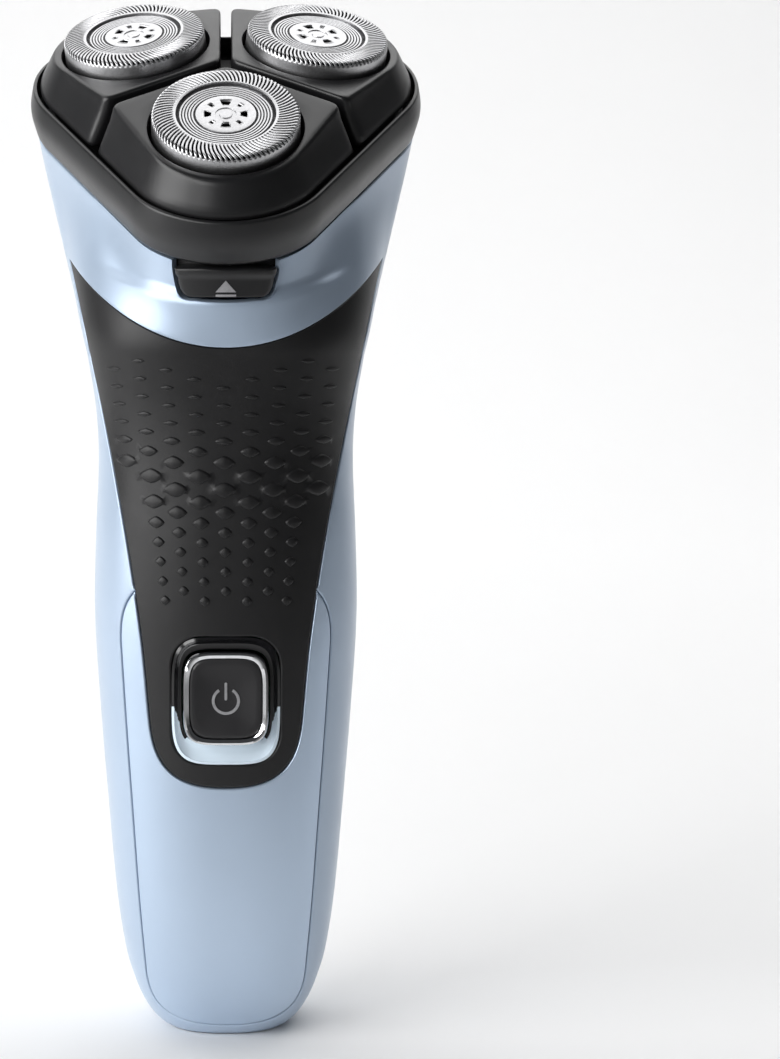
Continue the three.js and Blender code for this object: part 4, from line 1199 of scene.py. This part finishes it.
def add_guard(name, azimuth):
    inner = [(radius, height, 0.0) for radius, height in guard_profile()]
    slotted = [(radius, height, slot_sweep(radius)) for radius, height in slot_rows()]
    skirt = [(radius, height, slotted[-1][2]) for radius, height in GUARD_SKIRT]
    rows = inner + slotted + skirt
    faces, groove_shade = guard_faces(rows, len(inner), len(inner) + len(slotted) - 1)
    points = np.vstack([guard_ring(*row) for row in rows] + [np.array([[0.0, 0.0, FACE_HEIGHT]])])
    shape = head_to_world(cell_to_head(points, azimuth)), faces
    guard = finish_piece(f"guard_{name}_skin", shape, "guard", f"guard_body_{name}",
                         [f"guard_{name}"], angle=28, recalc=False)
    # Painted shade: the marked groove floors take the dark inner material in the second slot.
    guard.data.materials.append(MATS["matte"])
    for polygon, shade_painted in zip(guard.data.polygons, groove_shade):
        polygon.material_index = int(shade_painted)
    shell = guard.modifiers.new("sheet", "SOLIDIFY")
    shell.thickness = SHEET * MM
    shell.offset = -1
    apply_modifiers(guard)

    # Painted shade: a dark sheet under each guard's face, seen through the slots and windows.
    shade_sheet_rings = [head_to_world(cell_to_head(guard_ring(*row, count=96), azimuth)) for row in SHADE_SHEET]
    finish_piece(f"guard_{name}_shade_sheet", ring_loft(shade_sheet_rings), "matte", f"guard_body_{name}")


# Four wedge windows and four small slots round the middle; turn goes from 0 to 1 round the guard.
def window(low, high, turn):
    if not (2.2 < low and high < 3.3):
        return False
    turn = (turn + 0.5 / (SLOTS * SLOT_STEPS)) * 4
    if abs(turn - round(turn)) < 0.16 - 0.02 * (low < 2.6):
        return True
    return low > 2.6 and abs(abs(turn - math.floor(turn)) - 0.5) < 0.08


# ------------------------------------------------------------------ stage, light and camera


# Name, place, point faced and size in metres, and power in watts.
LIGHTS = [
    ("key_left", (-0.65, -0.375, 0.18), (0, 0, 0.08), (0.6, 0.9), 9),
    ("strip_left", (-0.34, -0.70, 0.12), (0, 0, 0.06), (0.2, 0.5), 1.7),
    ("overhead", (-0.1, 0.6, 1.2), (-0.1, 0.6, 0), (2.4, 1.2), 19),
]
AMBIENT = 0.05
SWEEP = {"half": 2.2, "front": -1.6, "bend": 0.55, "radius": 0.5, "top": 2.4}  # metres
CAMERA = {"distance": 0.345, "rise": math.radians(7), "target_z": 0.0785, "half_view": 0.08235,
          "shift": 0.155}


def aim(thing, place, target):
    thing.location = place
    thing.rotation_euler = (Vector(target) - Vector(place)).to_track_quat("-Z", "Y").to_euler()
    bpy.context.scene.collection.objects.link(thing)


def area_light(name, place, target, size, energy):
    data = bpy.data.lights.new(name, "AREA")
    data.shape = "RECTANGLE"
    data.size, data.size_y = size
    data.energy = energy
    aim(bpy.data.objects.new(name, data), place, target)


def add_stage():
    bend, radius = SWEEP["bend"], SWEEP["radius"]
    profile = [(SWEEP["front"], 0.0), (bend, 0.0)]
    for a in np.radians(np.linspace(0, 90, 14))[1:]:
        profile.append((bend + radius * math.sin(a), radius - radius * math.cos(a)))
    profile.append((bend + radius, SWEEP["top"]))
    vertices = [(x, y, z) for x in (-SWEEP["half"], SWEEP["half"]) for y, z in profile]
    count = len(profile)
    faces = [(i, i + 1, count + i + 1, count + i) for i in range(count - 1)]
    mesh = bpy.data.meshes.new("studio_sweep")
    mesh.from_pydata(vertices, [], faces)
    mesh.shade_smooth()
    mat = moulded("paper_sweep", (0.93, 0.93, 0.93), 0.85, grain=300, bump=0.02, drift=0.01)
    fade_paper(mat)
    mesh.materials.append(mat)
    sweep = bpy.data.objects.new("studio_sweep", mesh)
    bpy.context.scene.collection.objects.link(sweep)


# The paper darkens in front of the shaver, so that the front reflects less of it.
def fade_paper(mat):
    tree = mat.node_tree
    split = node(tree, "ShaderNodeSeparateXYZ")
    tree.links.new(node(tree, "ShaderNodeTexCoord").outputs["Object"], split.inputs["Vector"])
    reach = node(tree, "ShaderNodeMapRange")
    reach.inputs["From Min"].default_value = -0.22
    reach.inputs["From Max"].default_value = -0.04
    tree.links.new(split.outputs["Y"], reach.inputs["Value"])
    drive(tree, tree.nodes["Principled BSDF"].inputs["Base Color"], reach.outputs["Result"],
          [(0.0, grey(0.1)), (1.0, grey(0.93))])


def add_lights():
    world = bpy.data.worlds.new("studio")
    world.use_nodes = True
    world.node_tree.nodes["Background"].inputs["Color"].default_value = (0.93, 0.95, 1.0, 1.0)
    world.node_tree.nodes["Background"].inputs["Strength"].default_value = AMBIENT
    bpy.context.scene.world = world
    for light in LIGHTS:
        area_light(*light)


def add_camera():
    data = bpy.data.cameras.new("camera")
    camera = bpy.data.objects.new("camera", data)
    distance, rise = CAMERA["distance"], CAMERA["rise"]
    target = Vector((0, 0, CAMERA["target_z"]))
    aim(camera, target + Vector((0, -distance * math.cos(rise), distance * math.sin(rise))), target)
    data.sensor_fit = "VERTICAL"
    data.angle_y = 2 * math.atan(CAMERA["half_view"] / distance)
    data.shift_x = CAMERA["shift"]
    data.clip_start = 0.01
    bpy.context.scene.camera = camera
    bpy.context.scene.view_settings.view_transform = "Standard"


# ------------------------------------------------------------------ small pieces at the back


def add_neck_liner():
    angle = polar(160)
    rings = [surface(angle, np.full_like(angle, S_TOP), 1.4)]
    rings += [surface(angle, np.full_like(angle, S_TOP - drop), 2.1) for drop in (1, 4, 8, 12)]
    finish_piece("neck_liner", ring_loft(rings), "matte", "handle", recalc=False)


def assign_cad_looks():
    for look, names in CAD_LOOKS.items():
        for name in names:
            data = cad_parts[name].data
            data.materials.clear()
            data.materials.append(MATS[look])


# ------------------------------------------------------------------ build

add_camera()
add_stage()
add_lights()
assign_cad_looks()
add_shells()
add_grip()
add_front_panel()
add_rear_covers()
add_button_frame()
add_power_ring()
add_power_face()
add_power_symbol()
add_release_key()
add_neck_liner()
add_skirt()
for side_name, side_azimuth in SIDES.items():
    add_petal(side_name, side_azimuth)
    add_guard(side_name, side_azimuth)
